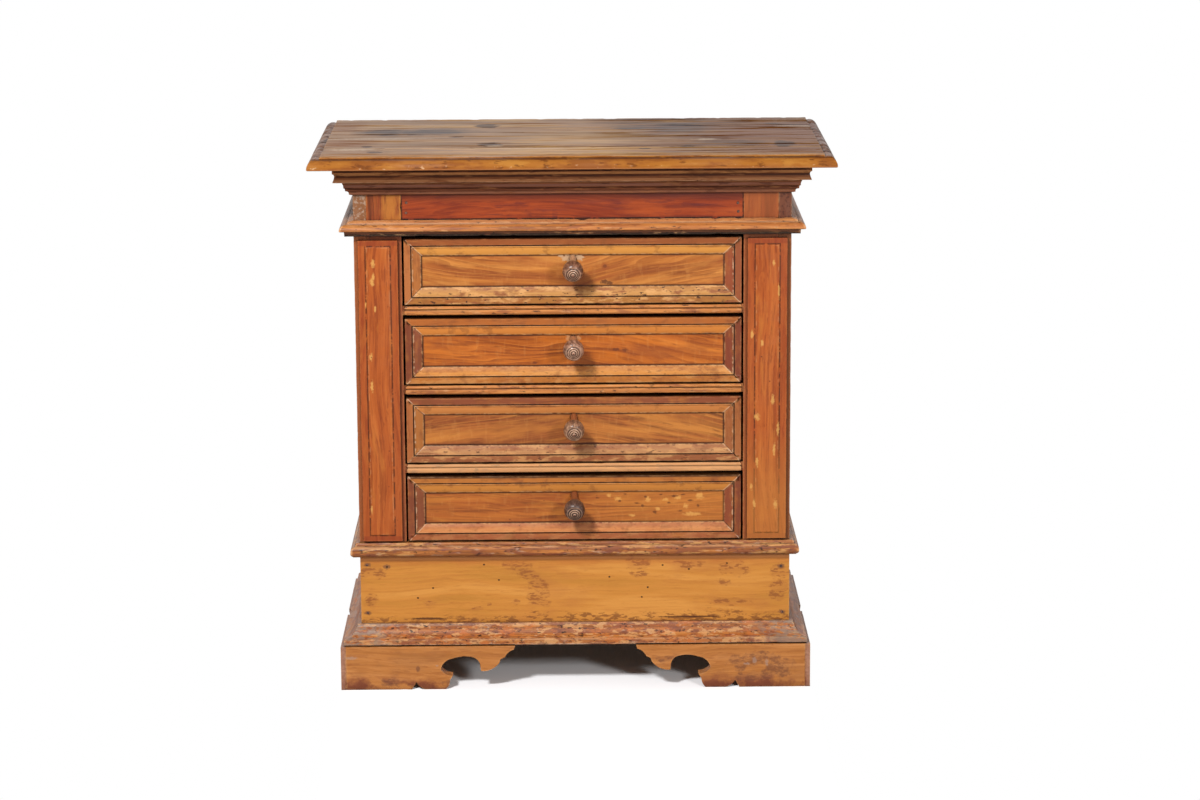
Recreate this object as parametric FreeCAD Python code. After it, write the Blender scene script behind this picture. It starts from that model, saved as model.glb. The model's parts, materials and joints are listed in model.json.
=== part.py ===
import FreeCAD, Part
import math
import os

# Small chest of drawers. X runs to the viewer's right, Y to the back and Z up.
# The origin is on the floor, under the middle of the top. All sizes are in millimetres.

# The case: two sides, a back and the front frame between them
case_width = 557.0
case_depth = 316.0
side_thickness = 16.5
back_thickness = 9.0
back_rabbet_lip = 7.0
back_board_count = 5
back_board_gap = 0.5
bottom_thickness = 15.0

# Heights of the bands on the front, from the floor up
foot_height = 57.5
base_height = 25.5
plinth_height = 90.0
waist_height = 18.2
drawer_count = 4
opening_height = 92.0
rail_height = 11.5
frieze_moulding_height = 19.3
frieze_height = 32.5
bed_height = 17.3
cornice_height = 21.0
top_thickness = 15.2

# How far each band stands out from the case
foot_projection = 26.0
base_projection = 22.3
waist_projection = 11.5
frieze_projection = 17.3
bed_projection = 12.2
cornice_projection = 24.0
top_projection = 54.0

# Front frame
stile_width = 44.5
stile_depth = 20.0
rail_depth = 45.0
plinth_thickness = 15.0
frieze_thickness = 15.0
tenon_length = 18.0
tenon_depth = 9.0
tenon_setback = 5.0
tenon_shoulder = 2.5
rail_reed_projection = 4.0
rail_reed_end_gap = 2.5

# Pilasters planted on the stiles
pilaster_width = 50.5
pilaster_thickness = 7.0
pilaster_inset = 5.0
pilaster_top_gap = 6.0
pilaster_bottom_gap = 3.0
pilaster_border = 9.3
pilaster_end_border = 7.5
pilaster_field_rise = 1.2
pilaster_field_bevel = 1.6

# Top, of two planks glued side by side
top_edge_width = 15.5
front_plank_width = 95.0
plank_gap = 0.4

# Drawer runners, with a guide on each
runner_reach = 15.0
guide_height = 14.0
guide_gap = 0.8

# Drawers
drawer_side_gap = 2.3
drawer_bottom_gap = 1.8
drawer_top_gap = 5.2
drawer_back_gap = 12.0
runner_gap = 0.3
front_board_thickness = 14.0
front_lap = 7.0
drawer_side_thickness = 11.0
drawer_side_top_gap = 13.7
drawer_back_thickness = 10.0
drawer_bottom_thickness = 6.0
drawer_bottom_rabbet = 5.0
frame_width = 22.2
frame_thickness = 5.5
frame_proud = 2.0

# Turned knobs, which lean down a little in their worn holes
knob_rise = 14.4
knob_length = 48.0
knob_radius = 13.4
knob_shank_radius = 4.5
knob_shank_gap = 0.1
knob_shank_proud = 3.0
knob_droop_degrees = 24.0

# Bracket feet
foot_thickness = 18.0
foot_lip = 6.7
front_foot_post = 91.6
side_foot_post = 22.0
foot_block_size = 46.0
foot_block_lift = 3.0

# How far cutting shapes run past what they cut
overrun = 5.0

# Sections of the mouldings, as shares of projection and height, from the bottom up.
# Two numbers draw a line to that point. Four draw an arc through the first pair to the second.
top_edge_shares = [(0.87, 0.0), (0.985, 0.05, 1.0, 0.20), (0.80, 0.64, 0.10, 0.80), (0.03, 0.81),
                   (0.0, 1.0)]
cornice_shares = [(0.52, 0.0), (0.955, 0.055), (0.985, 0.10), (0.92, 0.27, 0.89, 0.44),
                  (0.92, 0.54, 1.0, 0.60), (1.0, 1.0), (0.0, 1.0)]
bed_shares = [(0.15, 0.0), (0.36, 0.06), (0.38, 0.20, 0.45, 0.28), (0.71, 0.34), (0.75, 0.53),
              (0.88, 0.58), (0.90, 0.78, 1.0, 0.93), (1.0, 1.0), (0.0, 1.0)]
frieze_shares = [(0.62, 0.0), (0.65, 0.30), (0.90, 0.33), (0.985, 0.37, 1.0, 0.45),
                 (0.85, 0.70, 0.52, 0.79), (0.48, 0.78), (0.46, 0.87), (0.40, 0.92), (0.0, 1.0)]
waist_shares = [(0.70, 0.0), (0.74, 0.05), (0.95, 0.16, 1.0, 0.40), (0.91, 0.63, 0.56, 0.76),
                (0.51, 0.74), (0.50, 0.86), (0.44, 0.98), (0.36, 1.0), (0.0, 1.0)]
base_shares = [(0.93, 0.0), (1.0, 0.06), (0.985, 0.29), (0.91, 0.33), (0.485, 0.505, 0.29, 0.88),
               (0.23, 0.93), (0.21, 1.0), (0.0, 1.0)]
rail_reed_shares = [(0.45, 0.0), (0.93, 0.10, 1.0, 0.30), (0.95, 0.50, 0.60, 0.59), (0.60, 0.64),
                    (0.95, 0.72, 0.88, 0.88), (0.66, 1.0), (0.0, 1.0)]

# Section of a drawer's planted frame, as shares of its width inwards and its thickness outwards
frame_shares = [(0.0, 0.93), (0.03, 1.0), (0.385, 1.0), (0.40, 0.72), (0.445, 0.72),
                (0.48, 0.95, 0.525, 0.84), (0.54, 0.76), (0.73, 0.63, 0.95, 0.28), (1.0, 0.24),
                (1.0, 0.0)]

# Scroll of a bracket foot, as shares of its height, inwards from its tip and up from the floor
foot_scroll_shares = [(0.024, 0.915), (0.150, 0.850, 0.228, 0.741), (0.330, 0.694), (0.353, 0.612),
                      (0.480, 0.490, 0.683, 0.416), (0.774, 0.417), (0.788, 0.539),
                      (0.840, 0.668, 0.972, 0.746), (1.184, 0.765, 1.424, 0.715),
                      (1.619, 0.600, 1.675, 0.459), (1.576, 0.362, 1.407, 0.317), (1.471, 0.217),
                      (1.492, 0.104, 1.569, 0.0), (2.021, 0.0), (2.150, 0.063, 2.233, 0.170),
                      (2.337, 0.0)]

# Half outline of a knob, as shares of its length out from the drawer and of its radius,
# and how far each drawer's knob leans down, as shares of the droop
knob_root_share = 0.35
knob_shares = [(0.0, 0.35), (0.13, 0.31, 0.26, 0.34), (0.40, 0.41, 0.50, 0.60), (0.515, 0.68),
               (0.62, 0.97, 0.76, 1.0), (0.87, 0.92, 0.93, 0.66), (0.925, 0.58), (0.96, 0.46),
               (0.955, 0.34), (0.98, 0.26), (0.965, 0.12), (1.0, 0.03)]
knob_droop_shares = [1.05, 0.55, 1.0, 1.3]
knob_sides = 28
knob_arc_steps = 3

# Places worked out from the sizes above
half_width = case_width / 2
face_y = (top_projection - case_depth) / 2
back_y = (top_projection + case_depth) / 2
back_inner_y = back_y - back_thickness
side_inner_x = half_width - side_thickness
opening_half = side_inner_x - stile_width
plinth_base_z = foot_height + base_height
waist_z = plinth_base_z + plinth_height
first_opening_z = waist_z + waist_height
opening_pitch = opening_height + rail_height
frieze_moulding_z = first_opening_z + drawer_count * opening_pitch - rail_height
frieze_z = frieze_moulding_z + frieze_moulding_height
bed_z = frieze_z + frieze_height
cornice_z = bed_z + bed_height
top_z = cornice_z + cornice_height
foot_front_y = face_y - foot_projection
foot_side_x = half_width + foot_projection
scroll_length = foot_scroll_shares[-1][0] * foot_height
front_foot_length = scroll_length + front_foot_post
side_foot_length = scroll_length + side_foot_post

# Places in a drawer
drawer_half = opening_half - drawer_side_gap
field_y = face_y - frame_proud + frame_thickness
front_back_y = field_y + front_board_thickness
drawer_back_y = back_inner_y - drawer_back_gap
drawer_front_height = opening_height - drawer_bottom_gap - drawer_top_gap


def vec(x, y, z):
    return FreeCAD.Vector(x, y, z)


def board(x_ends, y_ends, z_ends):
    """Plain board between two places along each axis."""
    size = [ends[1] - ends[0] for ends in (x_ends, y_ends, z_ends)]
    return Part.makeBox(*size, vec(x_ends[0], y_ends[0], z_ends[0]))


def prism(corners, path):
    """Straight solid on a flat polygon."""
    return Part.Face(Part.makePolygon(corners + corners[:1])).extrude(path)


def mirrored(shape):
    """The same piece for the other side of the chest."""
    return shape.mirror(vec(0, 0, 0), vec(1, 0, 0))


def draw(entries, start, place):
    """Edges through a list of shares: lines to a point, or arcs through one point to another."""
    edges = []
    here = place(*start)
    for entry in entries:
        there = place(*entry[-2:])
        if len(entry) > 2:
            edges.append(Part.Arc(here, place(*entry[:2]), there).toShape())
        else:
            edges.append(Part.makeLine(here, there))
        here = there
    return edges


def closed_face(entries, start, place):
    """Flat face inside a drawn outline, closed by a line back to its start."""
    edges = draw(list(entries) + [start], start, place)
    return Part.Face(Part.Wire(edges))


def moulding(shares, projection, height, bottom_z):
    """Front, left and right lengths of a moulding round the case, mitred at the front corners."""
    reach = half_width + projection + overrun
    front_y = face_y - projection - overrun
    behind_x = half_width - overrun
    behind_y = face_y + overrun

    def on_front(out, up):
        return vec(-reach, face_y - out * projection, bottom_z + up * height)

    def on_side(out, up):
        return vec(half_width + out * projection, front_y, bottom_z + up * height)

    up_path = vec(0, 0, height)
    front_plan = [vec(x, y, bottom_z) for x, y in
                  ((-reach, front_y), (reach, front_y), (behind_x, behind_y), (-behind_x, behind_y))]
    side_plan = [vec(x, y, bottom_z) for x, y in
                 ((reach, front_y), (reach, back_y), (behind_x, back_y), (behind_x, behind_y))]
    long_front = closed_face(shares, (0, 0), on_front).extrude(vec(2 * reach, 0, 0))
    long_side = closed_face(shares, (0, 0), on_side).extrude(vec(0, back_y - front_y, 0))
    front = long_front.common(prism(front_plan, up_path))
    right = long_side.common(prism(side_plan, up_path))
    return front, mirrored(right), right


def edged_slab(shares, edge_width, half_length, front_y, rear_y, bottom_z, height):
    """Slab whose front and two ends carry one moulded edge, meeting in mitred corners."""
    inner_y = front_y + edge_width
    inner_x = half_length - edge_width

    def on_front(out, up):
        return vec(-half_length, inner_y - out * edge_width, bottom_z + up * height)

    def on_end(out, up):
        return vec(inner_x + out * edge_width, front_y, bottom_z + up * height)

    behind = (rear_y - inner_y) / edge_width
    across = (half_length + inner_x) / edge_width
    front_entries = shares + ([(-behind, 1.0), (-behind, 0.0)] if behind > 0 else [])
    end_entries = shares + [(-across, 1.0), (-across, 0.0)]
    slab = closed_face(front_entries, (0, 0), on_front).extrude(vec(2 * half_length, 0, 0))
    ends = closed_face(end_entries, (0, 0), on_end).extrude(vec(0, rear_y - front_y, 0))
    return slab.common(ends).common(mirrored(ends))


def make_top():
    """Two planks side by side, with an ovolo worked on the front and both ends."""
    half_length = half_width + top_projection
    front_y = face_y - top_projection
    slab = edged_slab(top_edge_shares, top_edge_width, half_length, front_y, back_y, top_z, top_thickness)
    joint_y = front_y + front_plank_width
    height = (top_z, top_z + top_thickness)
    length = (-half_length, half_length)
    front = slab.common(board(length, (front_y, joint_y - plank_gap / 2), height))
    rear = slab.common(board(length, (joint_y + plank_gap / 2, back_y), height))
    return {"top_front_plank": front, "top_rear_plank": rear}


def make_mouldings():
    """The five runs of moulding: cornice, bed, frieze, waist and base."""
    runs = {
        "cornice": (cornice_shares, cornice_projection, cornice_height, cornice_z),
        "bed_moulding": (bed_shares, bed_projection, bed_height, bed_z),
        "frieze_moulding": (frieze_shares, frieze_projection, frieze_moulding_height, frieze_moulding_z),
        "waist_moulding": (waist_shares, waist_projection, waist_height, waist_z),
        "base_moulding": (base_shares, base_projection, base_height, foot_height),
    }
    nodes = {}
    for name, run in runs.items():
        front, left, right = moulding(*run)
        nodes[name + "_front"] = front
        nodes[name + "_left"] = left
        nodes[name + "_right"] = right
    return nodes


def make_sides():
    """Side boards, notched in front for the plinth board and rabbeted behind for the back."""
    side = board((side_inner_x, half_width), (face_y, back_y), (foot_height, top_z))
    notch = board((side_inner_x, half_width), (face_y, face_y + plinth_thickness),
                  (foot_height, first_opening_z))
    rabbet = board((side_inner_x, half_width - back_rabbet_lip), (back_inner_y, back_y),
                   (foot_height, top_z))
    right = side.cut(notch).cut(rabbet)
    return {"left_side": mirrored(right), "right_side": right}


def make_back():
    """Horizontal back boards, nailed into the rabbets of the sides one above the other."""
    half = half_width - back_rabbet_lip
    pitch = (top_z - foot_height) / back_board_count
    boards = []
    for index in range(back_board_count):
        low = foot_height + index * pitch
        high = low + pitch - (back_board_gap if index < back_board_count - 1 else 0)
        boards.append(board((-half, half), (back_inner_y, back_y), (low, high)))
    return {"back_boards": boards}


def rail_levels():
    """Height of the top of each rail between two drawers."""
    return [first_opening_z + index * opening_pitch for index in range(1, drawer_count)]


def tenon(low_z, high_z):
    """Tenon on the right end of a rail, shouldered above and below."""
    y = face_y + tenon_setback
    return board((opening_half, opening_half + tenon_length), (y, y + tenon_depth),
                 (low_z + tenon_shoulder, high_z - tenon_shoulder))


def make_frame():
    """Stiles, and the rails and frieze board tenoned between them."""
    rails = []
    tenons = []
    for level in rail_levels():
        rail = board((-opening_half, opening_half), (face_y, face_y + rail_depth),
                     (level - rail_height, level))
        end = tenon(level - rail_height, level)
        rails.append(rail.fuse([end, mirrored(end)]))
        tenons.append(end)
    frieze = board((-opening_half, opening_half), (face_y, face_y + frieze_thickness),
                   (frieze_moulding_z, top_z))
    end = tenon(frieze_moulding_z, top_z)
    frieze = frieze.fuse([end, mirrored(end)])
    tenons.append(end)
    stile = board((opening_half, side_inner_x), (face_y, face_y + stile_depth),
                  (first_opening_z, top_z)).cut(tenons)
    return {"drawer_rails": rails, "frieze_board": frieze,
            "left_stile": mirrored(stile), "right_stile": stile}


def make_rail_mouldings():
    """Reeded strips planted on the rails, with their ends returned like their faces."""
    half_length = opening_half - rail_reed_end_gap
    front_y = face_y - rail_reed_projection
    strips = [edged_slab(rail_reed_shares, rail_reed_projection, half_length, front_y, face_y,
                         level - rail_height, rail_height) for level in rail_levels()]
    return {"rail_mouldings": strips}


def make_pilasters():
    """Flat pilasters with a raised and bevelled field, planted on the stiles."""
    x0 = opening_half + pilaster_inset
    x1 = x0 + pilaster_width
    z0 = first_opening_z + pilaster_bottom_gap
    z1 = frieze_moulding_z - pilaster_top_gap
    front_y = face_y - pilaster_thickness
    slab = board((x0, x1), (front_y, face_y), (z0, z1))

    def ring(inset, y):
        side = pilaster_border + inset
        end = pilaster_end_border + inset
        corners = [vec(x0 + side, y, z0 + end), vec(x1 - side, y, z0 + end),
                   vec(x1 - side, y, z1 - end), vec(x0 + side, y, z1 - end)]
        return Part.makePolygon(corners + corners[:1])

    field = Part.makeLoft([ring(0, front_y), ring(pilaster_field_bevel, front_y - pilaster_field_rise)],
                          True, True)
    right = slab.fuse(field)
    return {"left_pilaster": mirrored(right), "right_pilaster": right}


def make_plinth():
    """Plinth board over the front edges of the sides, and the bottom board the lowest drawer runs on."""
    plinth = board((-half_width, half_width), (face_y, face_y + plinth_thickness),
                   (foot_height, first_opening_z))
    bottom = board((-side_inner_x, side_inner_x), (face_y + plinth_thickness, back_inner_y),
                   (first_opening_z - bottom_thickness, first_opening_z))
    return {"plinth_board": plinth, "bottom_board": bottom}


def make_runners():
    """Runners nailed to the sides at each rail, and one pair over the top drawer to keep it level."""
    inner_x = opening_half - runner_reach
    y_ends = (face_y + rail_depth, back_inner_y)
    runners = []
    for level in rail_levels() + [frieze_moulding_z + rail_height]:
        right = board((inner_x, side_inner_x), y_ends, (level - rail_height, level))
        runners += [mirrored(right), right]
    return {"drawer_runners": runners}


def make_guides():
    """Strips on the runners and on the bottom board that keep the drawers straight."""
    y_ends = (face_y + rail_depth, back_inner_y)
    guides = []
    for level in [first_opening_z] + rail_levels():
        right = board((drawer_half + guide_gap, side_inner_x), y_ends, (level, level + guide_height))
        guides += [mirrored(right), right]
    return {"drawer_guides": guides}


def foot_board(length, place, path):
    """Bracket cut to the foot's scroll, drawn inwards from its tip."""
    across = length / foot_height
    entries = foot_scroll_shares + [(across, 0.0), (across, 1.0)]
    return closed_face(entries, (0.0, 1.0), place).extrude(path)


def make_feet():
    """Scrolled bracket feet, the front ones let in behind a lip of the side ones."""
    front_tip_x = foot_side_x - front_foot_length
    front = foot_board(front_foot_length - foot_lip,
                       lambda inward, up: vec(front_tip_x + inward * foot_height, foot_front_y,
                                              up * foot_height),
                       vec(0, foot_thickness, 0))
    side_path = vec(foot_thickness, 0, 0)
    inner_x = foot_side_x - foot_thickness
    fore_tip_y = foot_front_y + side_foot_length
    rear_tip_y = back_y - side_foot_length
    fore = foot_board(side_foot_length,
                      lambda inward, up: vec(inner_x, fore_tip_y - inward * foot_height, up * foot_height),
                      side_path)
    rear = foot_board(side_foot_length,
                      lambda inward, up: vec(inner_x, rear_tip_y + inward * foot_height, up * foot_height),
                      side_path)
    let_in = board((inner_x, foot_side_x - foot_lip), (foot_front_y, foot_front_y + foot_thickness),
                   (0, foot_height))
    fore = fore.cut(let_in)
    return {"front_left_foot": mirrored(front), "front_right_foot": front,
            "left_side_feet": [mirrored(fore), mirrored(rear)], "right_side_feet": [fore, rear]}


def make_foot_blocks():
    """Glue blocks in the four corners, which tie the feet to the case."""
    outer_x = foot_side_x - foot_thickness
    front_y = foot_front_y + foot_thickness
    blocks = []
    for y0 in (front_y, back_y - foot_block_size):
        right = board((outer_x - foot_block_size, outer_x), (y0, y0 + foot_block_size),
                      (foot_block_lift, foot_height))
        blocks += [mirrored(right), right]
    return {"foot_blocks": blocks}


def frame_bars(bottom_z):
    """Four mitred lengths of moulding planted round a drawer's front."""
    middle_z = bottom_z + drawer_front_height / 2

    def bar(half_run, half_span, along, across):
        """Length at the outer edge of one side, given the run's direction and the way outwards."""
        centre = vec(0, field_y, middle_z)
        start = centre - along * half_run + across * half_span

        def place(inward, out):
            return start - across * (inward * frame_width) + vec(0, -out * frame_thickness, 0)

        long_bar = closed_face(frame_shares, (0, 0), place).extrude(along * (2 * half_run))
        inner = frame_width + overrun
        corners = [start - along * overrun + across * overrun,
                   start + along * (2 * half_run + overrun) + across * overrun,
                   start + along * (2 * half_run - inner) - across * inner,
                   start + along * inner - across * inner]
        plan = prism([corner + vec(0, overrun, 0) for corner in corners],
                     vec(0, -2 * overrun - frame_thickness, 0))
        return long_bar.common(plan)

    half_height = drawer_front_height / 2
    x_axis, z_axis = vec(1, 0, 0), vec(0, 0, 1)
    return [bar(drawer_half, half_height, x_axis, z_axis), bar(drawer_half, half_height, x_axis, -z_axis),
            bar(half_height, drawer_half, z_axis, x_axis), bar(half_height, drawer_half, z_axis, -x_axis)]


def facet_rings(points):
    """Solid of flat facets round the Y axis, through rings of corners at the radius and place of each point."""
    def corner(point, index):
        angle = 2 * math.pi * (index % knob_sides) / knob_sides
        return vec(point.x * math.cos(angle), point.y, point.x * math.sin(angle))

    def flat(corners):
        return Part.Face(Part.makePolygon(corners + corners[:1]))

    faces = [flat([corner(point, index) for index in range(knob_sides)]) for point in (points[0], points[-1])]
    for low, high in zip(points, points[1:]):
        for index in range(knob_sides):
            faces.append(flat([corner(low, index), corner(low, index + 1),
                               corner(high, index + 1), corner(high, index)]))
    return Part.makeSolid(Part.makeShell(faces))


def make_knob(root_z, droop_degrees):
    """Turned knob with a slim neck and a ringed, pear-shaped head, and its shank through the front."""
    edges = draw(knob_shares, (-knob_shank_proud / knob_length, knob_root_share),
                 lambda out, radius: vec(radius * knob_radius, -out * knob_length, 0))
    outline = edges[0].discretize(2)
    for edge in edges[1:]:
        steps = knob_arc_steps if isinstance(edge.Curve, Part.Circle) else 1
        outline += edge.discretize(steps + 1)[1:]
    shank_end = front_board_thickness + knob_shank_proud
    turned = facet_rings(outline)
    shank = facet_rings([vec(knob_shank_radius, -knob_shank_proud, 0),
                         vec(knob_shank_radius, shank_end, 0)])
    hole_radius = knob_shank_radius + knob_shank_gap
    hole = facet_rings([vec(hole_radius, -overrun, 0), vec(hole_radius, shank_end + overrun, 0)])
    for shape in (turned, shank, hole):
        shape.rotate(vec(0, 0, 0), vec(1, 0, 0), droop_degrees)
        shape.translate(vec(0, field_y, root_z))
    behind = board((-knob_radius, knob_radius), (field_y, field_y + front_board_thickness),
                   (root_z - knob_length, root_z + knob_length))
    return turned.cut(behind).fuse(shank), hole


def make_drawer(name, opening_z, knob_droop):
    """One drawer: a moulded front, lapped over nailed sides, with a back, a bottom and a knob."""
    front_z = opening_z + drawer_bottom_gap
    front_top_z = front_z + drawer_front_height
    box_z = opening_z + runner_gap
    floor_z = box_z + drawer_bottom_thickness
    side_top_z = opening_z + opening_height - drawer_side_top_gap
    inner_x = drawer_half - drawer_side_thickness
    lap_y = field_y + front_lap
    rabbet_x = inner_x + drawer_bottom_rabbet
    rabbet_y = front_back_y - drawer_bottom_rabbet

    bottom = board((-rabbet_x, rabbet_x), (rabbet_y, drawer_back_y), (box_z, floor_z))
    bottom = bottom.cut(board((-rabbet_x, rabbet_x), (rabbet_y, front_back_y), (box_z, front_z)))
    side = board((inner_x, drawer_half), (lap_y, drawer_back_y), (box_z, side_top_z))
    side = side.cut(board((inner_x, rabbet_x), (lap_y, drawer_back_y), (box_z, floor_z)))
    back = board((-inner_x, inner_x), (drawer_back_y - drawer_back_thickness, drawer_back_y),
                 (floor_z, side_top_z))

    knob, hole = make_knob(front_z + drawer_front_height / 2 + knob_rise, knob_droop)
    front = board((-drawer_half, drawer_half), (field_y, front_back_y), (front_z, front_top_z))
    right_lap = board((inner_x, drawer_half), (lap_y, front_back_y), (front_z, side_top_z))
    floor_rabbet = board((-rabbet_x, rabbet_x), (rabbet_y, front_back_y), (front_z, floor_z))
    front = front.cut([right_lap, mirrored(right_lap), floor_rabbet, hole])
    return {name + "_front": front, name + "_moulding": frame_bars(front_z),
            name + "_sides": [mirrored(side), side], name + "_back": back,
            name + "_bottom": bottom, name + "_knob": knob}


def make_drawers():
    """All the drawers, numbered from the top one down."""
    nodes = {}
    for index in range(drawer_count):
        opening_z = first_opening_z + (drawer_count - 1 - index) * opening_pitch
        knob_droop = knob_droop_degrees * knob_droop_shares[index % len(knob_droop_shares)]
        nodes.update(make_drawer("drawer_%d" % (index + 1), opening_z, knob_droop))
    return nodes


def write_parts(nodes):
    """One file per node. A node of several like pieces keeps them as separate solids."""
    os.makedirs("parts", exist_ok=True)
    for name, shape in nodes.items():
        pieces = shape if isinstance(shape, list) else [shape]
        solids = [solid for piece in pieces for solid in piece.removeSplitter().Solids]
        whole = solids[0] if len(solids) == 1 else Part.makeCompound(solids)
        whole.exportStep("parts/%s.step" % name)


groups = [make_top(), make_mouldings(), make_sides(), make_back(), make_frame(), make_rail_mouldings(),
          make_pilasters(), make_plinth(), make_runners(), make_guides(), make_feet(),
          make_foot_blocks(), make_drawers()]
write_parts({name: shape for group in groups for name, shape in group.items()})
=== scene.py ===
import json
import math

import bmesh
import bpy
from mathutils import Matrix, Vector, noise

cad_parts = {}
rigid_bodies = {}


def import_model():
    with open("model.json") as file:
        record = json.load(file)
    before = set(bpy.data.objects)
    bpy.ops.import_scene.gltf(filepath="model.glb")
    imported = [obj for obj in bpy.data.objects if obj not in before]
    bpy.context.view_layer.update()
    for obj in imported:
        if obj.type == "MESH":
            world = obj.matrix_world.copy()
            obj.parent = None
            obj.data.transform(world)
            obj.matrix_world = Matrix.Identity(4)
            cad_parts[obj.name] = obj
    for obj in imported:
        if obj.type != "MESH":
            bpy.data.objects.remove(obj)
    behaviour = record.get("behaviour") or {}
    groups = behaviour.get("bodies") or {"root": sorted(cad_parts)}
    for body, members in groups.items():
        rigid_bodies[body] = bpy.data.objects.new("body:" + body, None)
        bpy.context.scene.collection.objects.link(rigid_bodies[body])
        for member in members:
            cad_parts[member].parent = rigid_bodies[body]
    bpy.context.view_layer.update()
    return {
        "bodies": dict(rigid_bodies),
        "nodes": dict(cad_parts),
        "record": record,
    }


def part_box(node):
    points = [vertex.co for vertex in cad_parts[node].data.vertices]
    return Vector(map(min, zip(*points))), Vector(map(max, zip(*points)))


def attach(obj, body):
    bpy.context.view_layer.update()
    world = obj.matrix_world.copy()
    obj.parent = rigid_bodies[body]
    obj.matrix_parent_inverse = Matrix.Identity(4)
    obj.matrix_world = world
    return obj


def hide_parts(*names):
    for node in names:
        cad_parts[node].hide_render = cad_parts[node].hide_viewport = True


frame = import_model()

nodes = frame["nodes"]
mm = 0.001


# Side boards. Two walnut boards with upright grain, hand planed, stained red-brown and waxed, whose
# edges have been rubbed down by long use.

def linear(hex_colour):
    """An sRGB colour written in hex, as the linear values that a shader takes."""
    shares = [int(hex_colour[start:start + 2], 16) / 255 for start in (1, 3, 5)]
    lit = [((share + 0.055) / 1.055) ** 2.4 if share > 0.04045 else share / 12.92 for share in shares]
    return lit + [1.0]


def add(tree, kind, inputs=None, **settings):
    """Adds one shader node with its settings, and fills its sockets. Each takes a value, another node, or
    the letter of an axis, which stands for a point's place along it, in metres."""
    node = tree.nodes.new("ShaderNode" + kind)
    for setting, value in settings.items():
        setattr(node, setting, value)
    for socket, value in (inputs or {}).items():
        if isinstance(value, str):
            value = add(tree, "SeparateXYZ", {0: place_of(tree)}).outputs[value]
        if isinstance(value, bpy.types.Node):
            value = value.outputs[0]
        if isinstance(value, bpy.types.NodeSocket):
            tree.links.new(value, node.inputs[socket])
        else:
            node.inputs[socket].default_value = value
    return node


def place_of(tree):
    """Where a point lies on the chest at rest, in metres."""
    return add(tree, "TexCoord").outputs["Object"]


def calc(tree, operation, *values):
    """One step of arithmetic in a shader."""
    return add(tree, "Math", dict(enumerate(values)), operation=operation)


def share(tree, value, low, high, top=1.0):
    """How far a value is from low to high, as a share that runs up to top."""
    return add(tree, "MapRange", {0: value, 1: low, 2: high, 4: top})


def drift(tree, size, detail, stretch=(1, 1, 1), shift=0.0, place=None):
    """Noise whose patches have a size in millimetres, drawn out along the axes by stretch."""
    place = place or place_of(tree)
    scale = [1 / (size * mm * pull) for pull in stretch]
    moved = add(tree, "Mapping", {"Vector": place, "Scale": scale, "Location": [shift] * 3})
    return add(tree, "TexNoise", {"Vector": moved, "Scale": 1.0, "Detail": detail, "Roughness": 0.62})


def patchy(tree, size, seed, low=0.38, high=0.48, top=1.0, detail=3.0, stretch=(1, 1, 1)):
    """Mask that comes and goes in patches of a size in millimetres."""
    return share(tree, drift(tree, size, detail, stretch, seed), low, high, top)


def along(grain, pull):
    """Stretch that draws a pattern out along the grain."""
    return [pull if axis == grain else 1.0 for axis in range(3)]


def all_of(tree, *masks):
    """One mask that is 1 only where all of its masks are."""
    whole = masks[0]
    for mask in masks[1:]:
        whole = calc(tree, "MULTIPLY", whole, mask)
    return whole


def blank(library, name):
    """A new material or world that has no nodes yet."""
    made = library.new(name)
    made.use_nodes = True
    made.node_tree.nodes.clear()
    return made


def new_finish(name, colour, sockets):
    """A new material with one even colour, over which washes are laid."""
    material = blank(bpy.data.materials, name)
    tree = material.node_tree
    shader = add(tree, "BsdfPrincipled", {"Base Color": linear(colour), **sockets}, name="finish")
    add(tree, "OutputMaterial", {"Surface": shader})
    return material


def wash(material, colour, *masks):
    """Lays one more colour over a finish where all the masks are 1."""
    tree = material.node_tree
    base = tree.nodes["finish"].inputs["Base Color"]
    over = add(tree, "MixRGB", {0: all_of(tree, *masks), 2: linear(colour)})
    if base.links:
        tree.links.new(base.links[0].from_socket, over.inputs[1])
    else:
        over.inputs[1].default_value = base.default_value
    tree.links.new(over.outputs[0], base)


# Thin old wax over the wood gives it a soft gloss. The grain sways over this many millimetres, this deep.
wax_ior = 1.45
sway_length, sway_depth = 240, 38 * mm


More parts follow.
